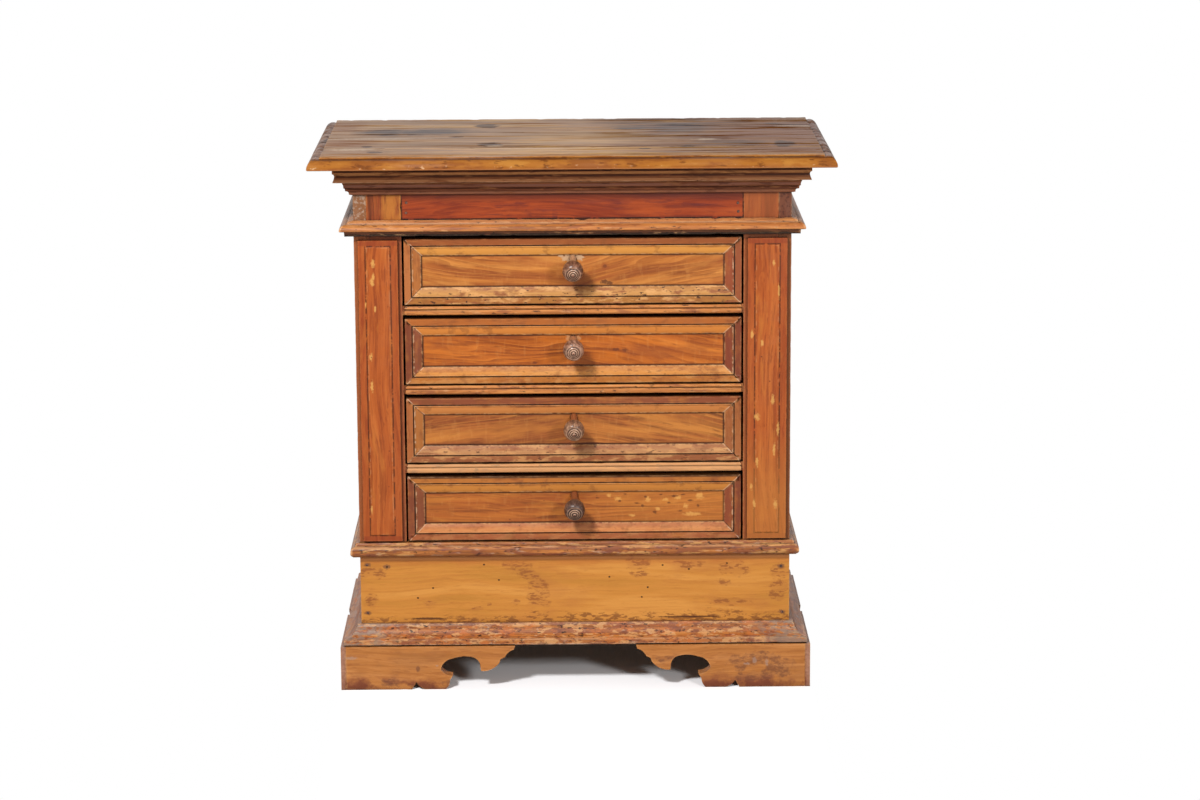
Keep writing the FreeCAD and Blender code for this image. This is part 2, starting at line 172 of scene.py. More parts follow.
def wood(name, grain, tones, streak, figure=(240, 15), lines=6.5, amounts=(0.5, 0.6, 0.5), roughness=0.42,
         gloss=0.3, seed=0.0, place=None, coarse=1.0):
    """Planed wood whose grain runs along one axis. Tones are its dark, middle and light colour, figure is
    the length and width of its broad bands, and lines the distance between growth lines, in millimetres.
    Amounts are how strongly its growth lines, streaks and pores show."""
    line_amount, streak_amount, pore_amount = amounts
    sockets = {"Roughness": roughness, "IOR": wax_ior, "Specular IOR Level": gloss}
    material = new_finish(name, tones[1], sockets)
    tree = material.node_tree
    place = place(tree) if place else place_of(tree)
    sway = drift(tree, sway_length, 1.0, shift=seed, place=place)
    bent = add(tree, "VectorMath", {0: sway.outputs["Color"], 1: [sway_depth] * 3, 2: place},
               operation="MULTIPLY_ADD").outputs[0]
    bands = drift(tree, figure[1], 3.0, along(grain, figure[0] / figure[1]), 3.1 + seed, bent)
    wash(material, tones[0], share(tree, bands, 0.49, 0.36))
    wash(material, tones[2], share(tree, bands, 0.52, 0.64))

    parts = add(tree, "SeparateXYZ", {0: bent})
    sides = [parts.outputs[axis] for axis in range(3) if axis != grain]
    swing = drift(tree, 34 * coarse, 2.0, along(grain, 9.0), 11.3 + seed, bent)
    level = calc(tree, "MULTIPLY", calc(tree, "ADD", *sides), 1 / (lines * coarse * mm))
    ring = calc(tree, "FRACT", calc(tree, "MULTIPLY_ADD", swing, 8.0, level))
    faint = drift(tree, 50, 2.0, along(grain, 3.0), 2.0 + seed, bent)
    strength = share(tree, faint, 0.36, 0.60, line_amount)
    wash(material, streak, share(tree, ring, 0.40, 0.95), strength)
    wash(material, tones[2], share(tree, ring, 0.24, 0.10), strength)

    # The real pores are a fifth of a millimetre wide. They are drawn coarser, to show from here.
    fine = drift(tree, 4.4 * coarse, 4.0, along(grain, 30.0), 7.7 + seed, bent)
    wash(material, streak, share(tree, fine, 0.52, 0.62, streak_amount))
    wash(material, tones[2], share(tree, fine, 0.46, 0.36, 0.7 * streak_amount))
    pore = drift(tree, 2.8 * coarse, 2.0, along(grain, 7.0), 1.3 + seed, bent)
    wash(material, streak, share(tree, pore, 0.60, 0.68, pore_amount))
    wash(material, tones[2], share(tree, pore, 0.38, 0.30, 0.6 * pore_amount))
    relief = calc(tree, "ADD", fine, calc(tree, "MULTIPLY", pore, 0.6))
    bump = add(tree, "Bump", {"Strength": 0.5, "Distance": 0.5 * mm, "Height": relief})
    tree.links.new(bump.outputs[0], tree.nodes["finish"].inputs["Normal"])
    return material


def blotch(material, colour, size, stretch, amount, seed=0.0, fill=0.5, soft=0.12, *where):
    """Cloudy patches of a size in millimetres. They cover about a share of the wood, given by fill, and fade
    over a wider range the softer they are."""
    tree = material.node_tree
    edge = 0.62 - 0.2 * fill
    wash(material, colour, patchy(tree, size, seed, edge, edge + soft, amount, 5.0, stretch), *where)


def specks(material, colour, spacing, radius, part, amount=1.0, shift=0.0, edge=0.25):
    """Round dots of one radius in millimetres, on a part of the cells of a scattered grid."""
    tree = material.node_tree
    place = add(tree, "Mapping", {"Vector": place_of(tree), "Location": [shift] * 3})
    cells = add(tree, "TexVoronoi", {"Vector": place, "Scale": 1 / (spacing * mm)})
    kept = calc(tree, "LESS_THAN", cells.outputs["Color"], part)
    size = radius / spacing
    dot = share(tree, cells.outputs["Distance"], size * (1 + edge), size * (1 - edge), amount)
    wash(material, colour, dot, kept)


def weather(material, worn, grime_and_shade="#170b06", wear=0.7, worm=0.2, shade_and_dirt=0.9, seed=0.0):
    """Rubs the arrises down to a paler colour, adds worm holes, and paints shade, with some dirt, into every
    corner and joint.
    """
    tree = material.node_tree
    edge = add(tree, "AmbientOcclusion", {"Distance": 2.2 * mm}, samples=3, inside=True, only_local=True)
    wash(material, worn, share(tree, edge.outputs["AO"], 0.80, 0.45),
         patchy(tree, 8, 9.2 + seed, 0.42, 0.60, wear, 4.0))
    specks(material, grime_and_shade, 13, 0.85, worm, 0.9)
    # Painted shade, with some dirt, in corners, joints and recesses, darker the more closed in they are.
    near = add(tree, "AmbientOcclusion", {"Distance": 3 * mm}, samples=4)
    wide = add(tree, "AmbientOcclusion", {"Distance": 14 * mm}, samples=3)
    wash(material, grime_and_shade, share(tree, wide.outputs["AO"], 0.62, 0.20, 0.55 * shade_and_dirt))
    wash(material, grime_and_shade, share(tree, near.outputs["AO"], 0.80, 0.42, shade_and_dirt))
    return material


def new_object(name, data):
    """Puts a new object into the scene, with its mesh, lamp or camera."""
    made = bpy.data.objects.new(name, data)
    bpy.context.scene.collection.objects.link(made)
    return made


def new_piece(name, form, material):
    """Makes a form that has been built up into an object of one material."""
    mesh = bpy.data.meshes.new(name)
    form.to_mesh(mesh)
    form.free()
    mesh.materials.append(material)
    return new_object(name, mesh)


bodies = frame["record"]["behaviour"]["bodies"]
body_of = {name: body for body, members in bodies.items() for name in members}
cut_spacing = 5 * mm
flat_angle, soft_angle, arris = math.radians(1), math.radians(30), math.radians(35)


def aged(node, material, axes, rub=0.35, chip=0.7):
    """The CAD piece with its arrises rubbed down and chipped by some tenths of a millimetre, always
    inwards. It stands for the crisp one and rides on the same body."""
    low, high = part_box(node)
    form = bmesh.new()
    form.from_mesh(nodes[node].data)
    bmesh.ops.remove_doubles(form, verts=form.verts, dist=0.002 * mm)
    bmesh.ops.dissolve_limit(form, angle_limit=flat_angle, verts=form.verts, edges=form.edges)
    for axis in axes:
        across = Vector([1.0 if index == axis else 0.0 for index in range(3)])
        length = high[axis] - low[axis]
        count = round(length / cut_spacing)
        for index in range(1, count):
            bmesh.ops.bisect_plane(form, geom=form.verts[:] + form.edges[:] + form.faces[:],
                                   plane_co=low + across * (length * index / count), plane_no=across)
    form.normal_update()
    moves = []
    for point in form.verts:
        sharp = [edge for edge in point.link_edges
                 if edge.is_manifold and edge.calc_face_angle_signed() > arris]
        if sharp:
            room = 0.35 * min(edge.calc_length() for edge in point.link_edges)
            rubbed = rub * (0.6 + 0.8 * noise.noise(point.co / (19 * mm)))
            chipped = chip * max(0.0, noise.noise(point.co / (8 * mm) + Vector((7, 7, 7))) - 0.3) / 0.3
            moves.append((point, min(room, (max(0.0, rubbed) + chipped) * mm)))
    for point, depth in moves:
        point.co -= point.normal * depth
    form.normal_update()
    for face in form.faces:
        face.smooth = True
    for edge in form.edges:
        edge.smooth = not edge.is_manifold or edge.calc_face_angle() < soft_angle
    piece = new_piece(node + "_aged", form, material)
    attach(piece, body_of[node])
    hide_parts(node)
    return piece


# The front edges show beside the stiles. They are worn to a paler or darker colour than the sides, and
# more golden below the frieze moulding.
edge_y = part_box("left_side")[0].y
moulding_low, moulding_high = [corner.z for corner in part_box("frieze_moulding_front")]
frieze_z = (moulding_low + moulding_high) / 2
for name, ground, dust, amount, low_tone, seed in (
        ("left_side", "#8a5a34", "#a48c7a", 0.7, "#a2582c", 1.0),
        ("right_side", "#5a2a18", "#34160e", 0.6, "#8c5028", 1.6)):
    side_wood = wood("stained_walnut_" + name, 2, ("#5c3220", "#744630", "#8a5c42"), "#44241a", seed=seed)
    blotch(side_wood, "#8f7060", 40, (1, 1, 3), 0.5, 0.7 + seed)
    blotch(side_wood, "#4e2c1e", 14, (1, 1, 3), 0.5, 3.7 + seed, 0.3)
    tree = side_wood.node_tree
    on_edge = share(tree, "Y", edge_y + 1.5 * mm, edge_y + 0.5 * mm)
    wash(side_wood, ground, on_edge, 0.65)
    blotch(side_wood, dust, 4, (1, 1, 1), amount, seed, 0.45, 0.05, on_edge)
    wash(side_wood, low_tone, on_edge, share(tree, "Z", frieze_z + 2 * mm, frieze_z - 2 * mm, 0.9))
    weather(side_wood, "#b58a66")
    aged(name, side_wood, (1, 2))


# Back, bottom and runners. Rough poplar boards that nobody was meant to see: never stained, grey-brown
# with age and dust, and nailed.

def marks(material, places, plane="XZ", ragged=0.9, grit=3.0, amount=1.0, seed=0.0, soft=0.2):
    """Mask of ragged ellipses. Each place is a centre and half sizes in millimetres, across and up."""
    tree = material.node_tree
    spot = add(tree, "SeparateXYZ", {0: place_of(tree)})
    across, up = [spot.outputs[axis] for axis in plane]
    least = None
    for middle_x, middle_z, half_width, half_height in places:
        dx = calc(tree, "MULTIPLY_ADD", across, 1 / (half_width * mm), -middle_x / half_width)
        dz = calc(tree, "MULTIPLY_ADD", up, 1 / (half_height * mm), -middle_z / half_height)
        away = calc(tree, "SQRT", calc(tree, "MULTIPLY_ADD", dx, dx, calc(tree, "MULTIPLY", dz, dz)))
        least = calc(tree, "MINIMUM", least, away) if least else away
    torn = drift(tree, grit, 4.0, shift=seed)
    torn = calc(tree, "MULTIPLY_ADD", torn, 2 * ragged, -ragged)
    return share(tree, calc(tree, "ADD", least, torn), 0.9 + soft, 0.9 - soft, amount)


def mark(material, colour, places, **ways):
    """Lays a colour over ragged ellipses."""
    wash(material, colour, marks(material, places, **ways))


def dress(node, material):
    """Gives a CAD piece its finish."""
    nodes[node].data.materials.clear()
    nodes[node].data.materials.append(material)


back_low, back_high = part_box("back_boards")
back_board_count = 5
back_board_width = (back_high.z - back_low.z) / back_board_count


def board_number(tree):
    """Which of the back boards a point lies in, counted from the floor."""
    up = calc(tree, "SUBTRACT", "Z", back_low.z)
    return calc(tree, "FLOOR", calc(tree, "DIVIDE", up, back_board_width))


def board_place(tree):
    """Coordinates that start anew on each back board, so that no grain runs across a joint."""
    number = board_number(tree)
    return add(tree, "CombineXYZ", {0: calc(tree, "MULTIPLY_ADD", number, 3.1, "X"), 1: "Y",
                                    2: calc(tree, "MULTIPLY_ADD", number, 0.7, "Z")}).outputs[0]


poplar = {}
for grain, way in ((0, "crosswise"), (1, "lengthwise")):
    poplar[way] = wood("raw_poplar_" + way, grain, ("#8a6642", "#a07c56", "#b6966e"), "#6a4a30",
                       roughness=0.75, seed=2.0)
    blotch(poplar[way], "#74563a", 60, along(grain, 3), 0.5, 2.7)
    weather(poplar[way], "#c4a680", wear=0.3)
for name, way in (("bottom_board", "crosswise"), ("drawer_runners", "lengthwise"),
                  ("drawer_guides", "lengthwise"), ("foot_blocks", "crosswise")):
    dress(name, poplar[way])
back_poplar = wood("raw_poplar_back", 0, ("#866442", "#9e7c56", "#b6986e"), "#60452e", roughness=0.75,
                   seed=2.4, place=board_place)
tree = back_poplar.node_tree
odd = calc(tree, "FRACT", calc(tree, "MULTIPLY", board_number(tree), 0.618))
wash(back_poplar, "#74583c", share(tree, odd, 0.1, 0.9, 0.5))
blotch(back_poplar, "#5a4630", 70, (3, 1, 1), 0.5, 2.9)
to_joint = calc(tree, "PINGPONG", calc(tree, "SUBTRACT", "Z", back_low.z), back_board_width / 2)
# The joints are half a millimetre wide. They are drawn wider, to show from here.
wash(back_poplar, "#1a110a", share(tree, to_joint, 1.6 * mm, 0.8 * mm, 0.9))
# Two nails hold each board, set flush, so only their rust shows.
back_nails = [(side * (back_high.x / mm - 9), (back_low.z + (index + 0.5) * back_board_width) / mm, 2.4, 2.6)
              for index in range(back_board_count) for side in (-1, 1)]
mark(back_poplar, "#33201a", back_nails, ragged=0.3, amount=0.85)
weather(back_poplar, "#c4a680", wear=0.3)
dress("back_boards", back_poplar)


# Front frame. Walnut stiles, with three rails and a red-stained frieze board tenoned between them and
# pegged from behind.

stile_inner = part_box("right_stile")[0].x
gold_end = stile_inner + 31.5 * mm
# Planed walnut under worn stain: red-brown, and golden at the frieze, where the stain has gone.
stile_wood = wood("stained_walnut_stiles", 2, ("#62260e", "#7a3418", "#964e22"), "#4a1e0e", seed=3.0)
tree = stile_wood.node_tree
wavy = calc(tree, "MULTIPLY_ADD", drift(tree, 16, 3.0, (1, 1, 3), 1.3), 16 * mm, calc(tree, "ABSOLUTE", "X"))
golden = all_of(tree, share(tree, wavy, gold_end + 4 * mm, gold_end - 4 * mm),
              patchy(tree, 5, 3.3, 0.30, 0.52, 0.85, stretch=(1, 1, 7)),
              calc(tree, "LESS_THAN", "X", 0.0))
at_frieze = share(tree, "Z", frieze_z - 2 * mm, frieze_z + 2 * mm)
wash(stile_wood, "#ac6a2a", golden, at_frieze)
wash(stile_wood, "#9a5430", calc(tree, "SUBTRACT", 1.0, at_frieze), 0.6)
wash(stile_wood, "#a45a2c", calc(tree, "GREATER_THAN", "X", 0.0), 0.45)
weather(stile_wood, "#c58a52")
rail_wood = wood("stained_walnut_rails", 0, ("#74381a", "#96502a", "#b06a34"), "#54260f", seed=4.0)
weather(rail_wood, "#c58a52")
# Planed walnut under red stain: deep and even, with purple clouds where it soaked in.
frieze_wood = wood("red_stained_walnut", 0, ("#74280f", "#8c3714", "#9e461c"), "#5e2014", figure=(200, 18),
                   amounts=(0.3, 0.6, 0.25), seed=5.0)
blotch(frieze_wood, "#5e2a2a", 13, (9, 1, 1), 0.5, 5.7, 0.4)
blotch(frieze_wood, "#a84c1c", 22, (5, 1, 1), 0.45, 6.7, 0.4)
tree = frieze_wood.node_tree
purple = [(-80, 631, 26, 3.5), (-112, 620, 22, 1.8), (-72, 617, 22, 1.8), (44, 633, 20, 3),
          (112, 635, 26, 3), (160, 631, 24, 3.5), (118, 621, 18, 2.5), (148, 617, 12, 2), (-22, 618, 3, 5)]
dark = marks(frieze_wood, purple, ragged=1.5, grit=14, amount=0.5, seed=3.0)
grainy = patchy(tree, 3.2, 8.0, 0.44, 0.60, stretch=(14, 1, 1))
wash(frieze_wood, "#4a1a1e", dark, grainy)
rim = calc(tree, "MINIMUM", calc(tree, "SUBTRACT", stile_inner, calc(tree, "ABSOLUTE", "X")),
           calc(tree, "SUBTRACT", "Z", moulding_high))
wash(frieze_wood, "#1c0c06", share(tree, rim, 2.2 * mm, 1.2 * mm, 0.9), patchy(tree, 11, 4.0, 0.34, 0.44))
# A painted shadow of the bed moulding darkens the top of the board.
under_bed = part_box("bed_moulding_front")[0].z
wash(frieze_wood, "#4c1e10", share(tree, "Z", under_bed - 12 * mm, under_bed - 4 * mm, 0.6))
weather(frieze_wood, "#b8673a", wear=0.3)
aged("left_stile", stile_wood, (2,))
aged("right_stile", stile_wood, (2,))
aged("drawer_rails", rail_wood, (0,))
aged("frieze_board", frieze_wood, (0,))


# Plinth board. One wide golden board, planed, nailed over the front edges of the sides, bruised in
# patches where the plane tore the grain and furniture has been shoved against it.

# Planed walnut under clear wax: an even gold with faint lines.
plinth_wood = wood("golden_walnut", 0, ("#b87a30", "#c48136", "#ce8c40"), "#a8662a", figure=(260, 22),
                   amounts=(0.08, 0.3, 0.3), seed=6.0)
tree = plinth_wood.node_tree
blotch(plinth_wood, "#b06c34", 46, (2, 1, 1), 0.35, 6.9)
bruises = [(-72, 158, 17, 8), (-60, 146, 13, 7), (-50, 133, 15, 8), (-48, 119, 15, 8), (-46, 108, 13, 5),
           (-76, 110, 6, 4), (-264, 110, 8, 11), (-262, 150, 18, 7), (-188, 109, 9, 4), (-112, 106, 4, 3),
           (-126, 101, 8, 3), (82, 160, 16, 8), (86, 146, 13, 5), (145, 159, 20, 6), (206, 153, 19, 10),
           (194, 134, 12, 6), (200, 108, 22, 5), (266, 146, 12, 12), (264, 122, 14, 14)]
bruised = marks(plinth_wood, bruises, ragged=1.3, grit=16, seed=1.0)
nick = drift(tree, 3.0, 3.0, (3.4, 1, 1), 21.0)
wash(plinth_wood, "#7e4420", bruised, share(tree, nick, 0.50, 0.56, 0.7))
wash(plinth_wood, "#9c5c30", bruised, 0.22)
# Dirt lies along the base moulding, and lies lower on the left.
over_base, under_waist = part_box("base_moulding_front")[1].z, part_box("waist_moulding_front")[0].z
sparse = share(tree, "X", -180 * mm, -60 * mm, 6 * mm)
ragged_foot = calc(tree, "MULTIPLY_ADD", drift(tree, 9, 4.0, (1.8, 1, 1)), -36 * mm, "Z")
low_dirt = calc(tree, "SUBTRACT", ragged_foot, sparse)
wash(plinth_wood, "#74421f", share(tree, low_dirt, over_base - 11 * mm, over_base - 17 * mm),
     share(tree, nick, 0.49, 0.54, 0.75))
mark(plinth_wood, "#43200f", [(-192, 88, 26, 1.6), (150, 88, 46, 1.3)], ragged=0.6, amount=0.85)
# Under the waist moulding the board is painted darker and redder as shade, and a band of painted light lies
# over its top few millimetres.
waist_shadow_height = calc(tree, "MULTIPLY_ADD", drift(tree, 24, 3.0), 14 * mm, "Z")
wash(plinth_wood, "#a8582a", share(tree, waist_shadow_height, under_waist - 10 * mm, under_waist + 1 * mm, 0.45))
wash(plinth_wood, "#e09a68", share(tree, "Z", under_waist - 8 * mm, under_waist - 5 * mm, 0.25))
# Rust has spread round the nails, and round one that is lost.
plinth_nails = [(-269.6, 160.8), (-269.5, 96.3), (267.5, 155), (269.2, 93.4)]
nail_holes = plinth_nails + [(-243.7, 157.9)]
dents = [(-184.5, 129.2), (-204.2, 115.9), (-98.7, 139.3), (197.4, 159.5), (44.6, 142.3), (94.4, 128),
         (86.6, 115), (113.8, 157.6), (148, 152), (-118, 160)]
mark(plinth_wood, "#6b4430", [(x, z, 5, 3) for x, z in nail_holes], amount=0.7)
mark(plinth_wood, "#1a0c06", [(x, z, 1.4, 1.2) for x, z in nail_holes + dents], ragged=0.3)
weather(plinth_wood, "#dca05a", wear=0.6, worm=0.04, shade_and_dirt=0.65)
aged("plinth_board", plinth_wood, (0,))


# Bracket feet. Sawn to a scroll from walnut board, the front ones let in behind a lip of the side ones,
# darkened by floor mops along the bottom.

foot_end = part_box("right_side_feet")[1].x


def foot_wood(name, grain, tones, streak, seed):
    """Walnut of the feet, knocked and stained, and nearly red-black along the floor."""
    material = wood(name, grain, tones, streak, figure=(160, 14), amounts=(0.25, 0.45, 0.5), seed=seed)
    tree = material.node_tree
    blotch(material, "#a26a3c", 24, (2, 1, 1), 0.4, seed)
    ragged = drift(tree, 17, 4.0, (1.6, 1, 1), seed)
    height = calc(tree, "MULTIPLY_ADD", ragged, -28 * mm, "Z")
    damp = patchy(tree, 34, 3.0 + seed, 0.40, 0.54, detail=4.0)
    wash(material, "#82462f", share(tree, height, 6 * mm, -5 * mm, 0.85), damp)
    wash(material, "#64301f", share(tree, height, -1 * mm, -8 * mm, 0.6), damp)
    knocks = [(216, 33, 22, 11), (240, 38, 26, 9), (262, 26, 22, 12), (236, 14, 30, 6), (-242, 9, 12, 6),
              (-150, 8, 20, 6), (-205, 27, 3, 5), (118, 38, 14, 5)]
    rubbed = marks(material, knocks, ragged=1.4, grit=14, seed=2.0)
    scuff = patchy(tree, 3.6, 5.0, 0.42, 0.58, 0.6, stretch=(2, 1, 1))
    wash(material, "#5f3424", rubbed, scuff)
    wash(material, "#8a5a3e", rubbed, 0.25)
    scratches = [(-292, 43, 9, 2.2), (-180, 32, 2, 1.2), (232, 36, 3, 5), (248, 33, 2, 6), (222, 31, 5, 1.5)]
    mark(material, "#a98f80", scratches, ragged=1.2, amount=0.45)
    on_lip = share(tree, calc(tree, "ABSOLUTE", "X"), foot_end - 5.5 * mm, foot_end - 4.0 * mm, 0.4)
    wash(material, "#a87c68", on_lip)
    specks(material, "#5a2c18", 9, 0.9, 0.25, 0.7, seed)
    return weather(material, "#cf9660", wear=0.8)


front_foot_wood = foot_wood("walnut_feet", 0, ("#a6672f", "#b6743a", "#c48248"), "#95562a", 7.0)
side_foot_wood = foot_wood("walnut_side_feet", 1, ("#8c5a40", "#a06e54", "#b08066"), "#74482e", 7.5)
for node in ("front_left_foot", "front_right_foot"):
    aged(node, front_foot_wood, (0,), rub=0.3, chip=0.5)
for node in ("left_side_feet", "right_side_feet"):
    aged(node, side_foot_wood, (1,), rub=0.2, chip=0.3)


# Mouldings. Run with hollow and round planes, mitred at the front corners and nailed on. The upper ones
# are nearly black with old wax, the lower ones are worn to bare wood, bruised and full of chips.

dark_tones = (("#5a2e18", "#6e3c22", "#88502e"), "#3c1c0e")
worn_tones = (("#96542a", "#ac6630", "#be7a3e"), "#70401f")
reed_tones = (("#a8622c", "#bc743a", "#cc8848"), "#84502a")


def within(tree, value, low, high, soft):
    """Mask that is 1 where a value lies between two bounds, with soft ends."""
    return all_of(tree, share(tree, value, low - soft, low + soft),
                  share(tree, value, high + soft, high - soft))


def moulding_wood(name, node, grain, tones, streak, patches, bands, worn, seed, gloss=0.3):
    """Moulding with crisp patches, as (colour, size, length for one of width, amount, fill), and with
    bands of painted light and shade along it, with some dust and wear, as (low and high share of its
    height, colour, amount)."""
    material = wood(name, grain, tones, streak, figure=(200, 9), gloss=gloss, seed=seed)
    tree = material.node_tree
    low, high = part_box(node)
    for start, stop, colour, amount in bands:
        lower, upper = [low.z + part * (high.z - low.z) for part in (start, stop)]
        mask = within(tree, "Z", lower, upper, 0.5 * mm)
        fade = patchy(tree, 14, seed + start, 0.30, 0.46, amount, stretch=along(grain, 5.0))
        wash(material, colour, mask, fade)
    for index, (colour, size, pull, amount, fill) in enumerate(patches):
        blotch(material, colour, size, along(grain, pull), amount, seed + 2.3 * index, fill, 0.05)
    return weather(material, worn, wear=0.9, worm=0.3)


dark_patches = [("#34180f", 7, 5, 0.5, 0.2), ("#94603a", 5, 6, 0.45, 0.15)]
light_patches = [("#844a30", 6, 5, 0.6, 0.3), ("#cc9866", 5, 4, 0.45, 0.15), ("#341810", 3.6, 3, 0.85, 0.08)]
bruised_patches = [("#80452c", 8, 5, 0.75, 0.5), ("#d09a5c", 7, 5, 0.65, 0.3), ("#744032", 5, 4, 0.7, 0.35),
                   ("#bc9a80", 4.5, 4, 0.45, 0.15), ("#2c140c", 3.6, 2.6, 0.9, 0.14)]
base_patches = [("#bc6830", 14, 2.4, 0.6, 0.4), ("#824a34", 10, 2.2, 0.75, 0.45),
                ("#cc9864", 8, 2.4, 0.7, 0.4), ("#703f2c", 5.5, 2.4, 0.75, 0.35),
                ("#d0ac8c", 4.5, 2, 0.4, 0.1), ("#24100a", 3.6, 2.2, 0.9, 0.15)]
# Painted light and shade along each moulding's profile: rounds and ledges lit, hollows and the parts under
# fillets and overhangs shaded, with some dust and wear on the ledges.
cornice_shading_bands = [(0.0, 0.10, "#d8a078", 0.9), (0.10, 0.24, "#ae7850", 0.95), (0.25, 0.33, "#8a5634", 0.8),
                 (0.36, 0.50, "#3c1c0a", 0.8), (0.51, 0.67, "#b47a4a", 0.9), (0.69, 0.78, "#2c1208", 0.8)]
bed_shading_bands = [(0.08, 0.28, "#83543e", 0.95), (0.30, 0.42, "#643a2a", 0.7), (0.44, 0.58, "#381a0e", 0.8),
             (0.62, 0.82, "#855644", 0.9), (0.90, 1.0, "#9c6844", 0.8)]
frieze_shading_bands = [(0.0, 0.18, "#1a0c06", 0.95), (0.18, 0.27, "#5a3424", 0.9), (0.26, 0.36, "#4a2410", 0.85),
                (0.76, 0.84, "#bc8a60", 0.75), (0.92, 1.0, "#d08e58", 0.8)]
waist_shading_bands = [(0.0, 0.24, "#84502c", 0.55), (0.51, 0.62, "#703c1c", 0.75), (0.65, 0.80, "#c89468", 0.7),
               (0.81, 0.89, "#84481f", 0.8), (0.89, 1.0, "#a0643c", 0.6)]
base_shading_bands = [(0.0, 0.08, "#ecc4a4", 0.9), (0.08, 0.24, "#b06c3c", 0.7), (0.26, 0.34, "#c49a78", 0.4),
              (0.50, 0.60, "#8a5236", 0.6), (0.72, 0.78, "#74442c", 0.5), (0.90, 1.0, "#7c6050", 0.7)]
for run, tones, patches, bands, worn, chip, gloss, seed in (
        ("cornice", dark_tones, dark_patches, cornice_shading_bands, "#a0643a", 0.9, 0.12, 8.0),
        ("bed_moulding", dark_tones, dark_patches, bed_shading_bands, "#8c5432", 0.9, 0.12, 8.6),
        ("frieze_moulding", worn_tones, light_patches, frieze_shading_bands, "#d8a474", 1.5, 0.3, 9.0),
        ("waist_moulding", worn_tones, bruised_patches, waist_shading_bands, "#d8a474", 1.6, 0.3, 9.6),
        ("base_moulding", worn_tones, base_patches, base_shading_bands, "#d4a67c", 1.6, 0.3, 10.0)):
    node = run + "_front"
    front_wood = moulding_wood("walnut_" + node, node, 0, *tones, patches, bands, worn, seed, gloss)
    tree = front_wood.node_tree
    if run == "frieze_moulding":
        # Painted shade on the lowest edge of the moulding, under its nose.
        under = moulding_low + 1.6 * mm
        wash(front_wood, "#140a06", share(tree, "Z", under + 0.6 * mm, under - 0.6 * mm, 0.95))
    if run == "base_moulding":
        powder = patchy(tree, 5, 14.0, 0.44, 0.54, 0.75, 4.0, (2.4, 1, 1))
        dusty_end = share(tree, calc(tree, "ABSOLUTE", "X"), 225 * mm, 262 * mm)
        wash(front_wood, "#8c7666", powder, dusty_end)
    aged(node, front_wood, (0,), chip=chip)
    return_wood = moulding_wood("walnut_%s_return" % run, node, 1, *tones, patches[:2], bands, worn,
                                seed + 0.3)
    blotch(return_wood, "#a08678", 12, (1, 3, 1), 0.55, seed, 0.7)
    for side in ("_left", "_right"):
        aged(run + side, return_wood, (1,), rub=0.25, chip=0.3)
reed_wood = moulding_wood("walnut_rail_reeds", "rail_mouldings", 0, *reed_tones, light_patches, [],
                          "#cc9258", 10.6)
tree = reed_wood.node_tree
# The lowest strip is the palest.
middle_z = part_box("drawer_3_front")[0].z + 39 * mm
wash(reed_wood, "#d4a474", share(tree, "Z", middle_z + 5 * mm, middle_z - 5 * mm, 0.45))
aged("rail_mouldings", reed_wood, (0,))


# Pilasters. Flat walnut boards with a raised, bevelled field, glued and nailed on the stiles, with pale
# bruises where the stain has been knocked off.

def near_line(tree, value, aim, reach, amount=1.0):
    """Mask of a soft line where a value is near an aim."""
    away = calc(tree, "ABSOLUTE", calc(tree, "SUBTRACT", value, aim))
    return share(tree, away, reach, 0.35 * reach, amount)


def inset_of(tree, node, axis):
    """How far a point of a piece lies in from the nearer of its two ends along an axis, in metres."""
    low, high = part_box(node)
    off_centre = calc(tree, "SUBTRACT", "XYZ"[axis], (low[axis] + high[axis]) / 2)
    return calc(tree, "SUBTRACT", (high[axis] - low[axis]) / 2, calc(tree, "ABSOLUTE", off_centre))


border, end_border = 9.3 * mm, 7.5 * mm
scars = {
    "left_pilaster": [(-253.7, 558, 2.4, 5), (-255.4, 534.8, 3, 5.5), (-254, 541, 2, 5),
                      (-258.6, 437.5, 2, 4.5), (-258.1, 399, 1.8, 7), (-261.2, 236.2, 1.4, 5),
                      (-252, 500, 1.4, 4), (-264, 505, 1, 4)],
    "right_pilaster": [(228.2, 462.5, 1.7, 5.5), (241, 452, 1.8, 4.4), (235, 355.2, 3.4, 4.4),
                       (255.5, 377.4, 2.3, 6.6), (235.3, 295.9, 1.7, 6.6), (227.7, 262.8, 1.8, 4.4),
                       (257.1, 312.9, 1.7, 7.7), (258.8, 240, 2.6, 5.5), (255.8, 555.6, 1.7, 3.3),
                       (262.3, 519.4, 1.3, 9.9), (262, 340, 1.6, 8.8), (232, 240, 1.8, 5.5)]}
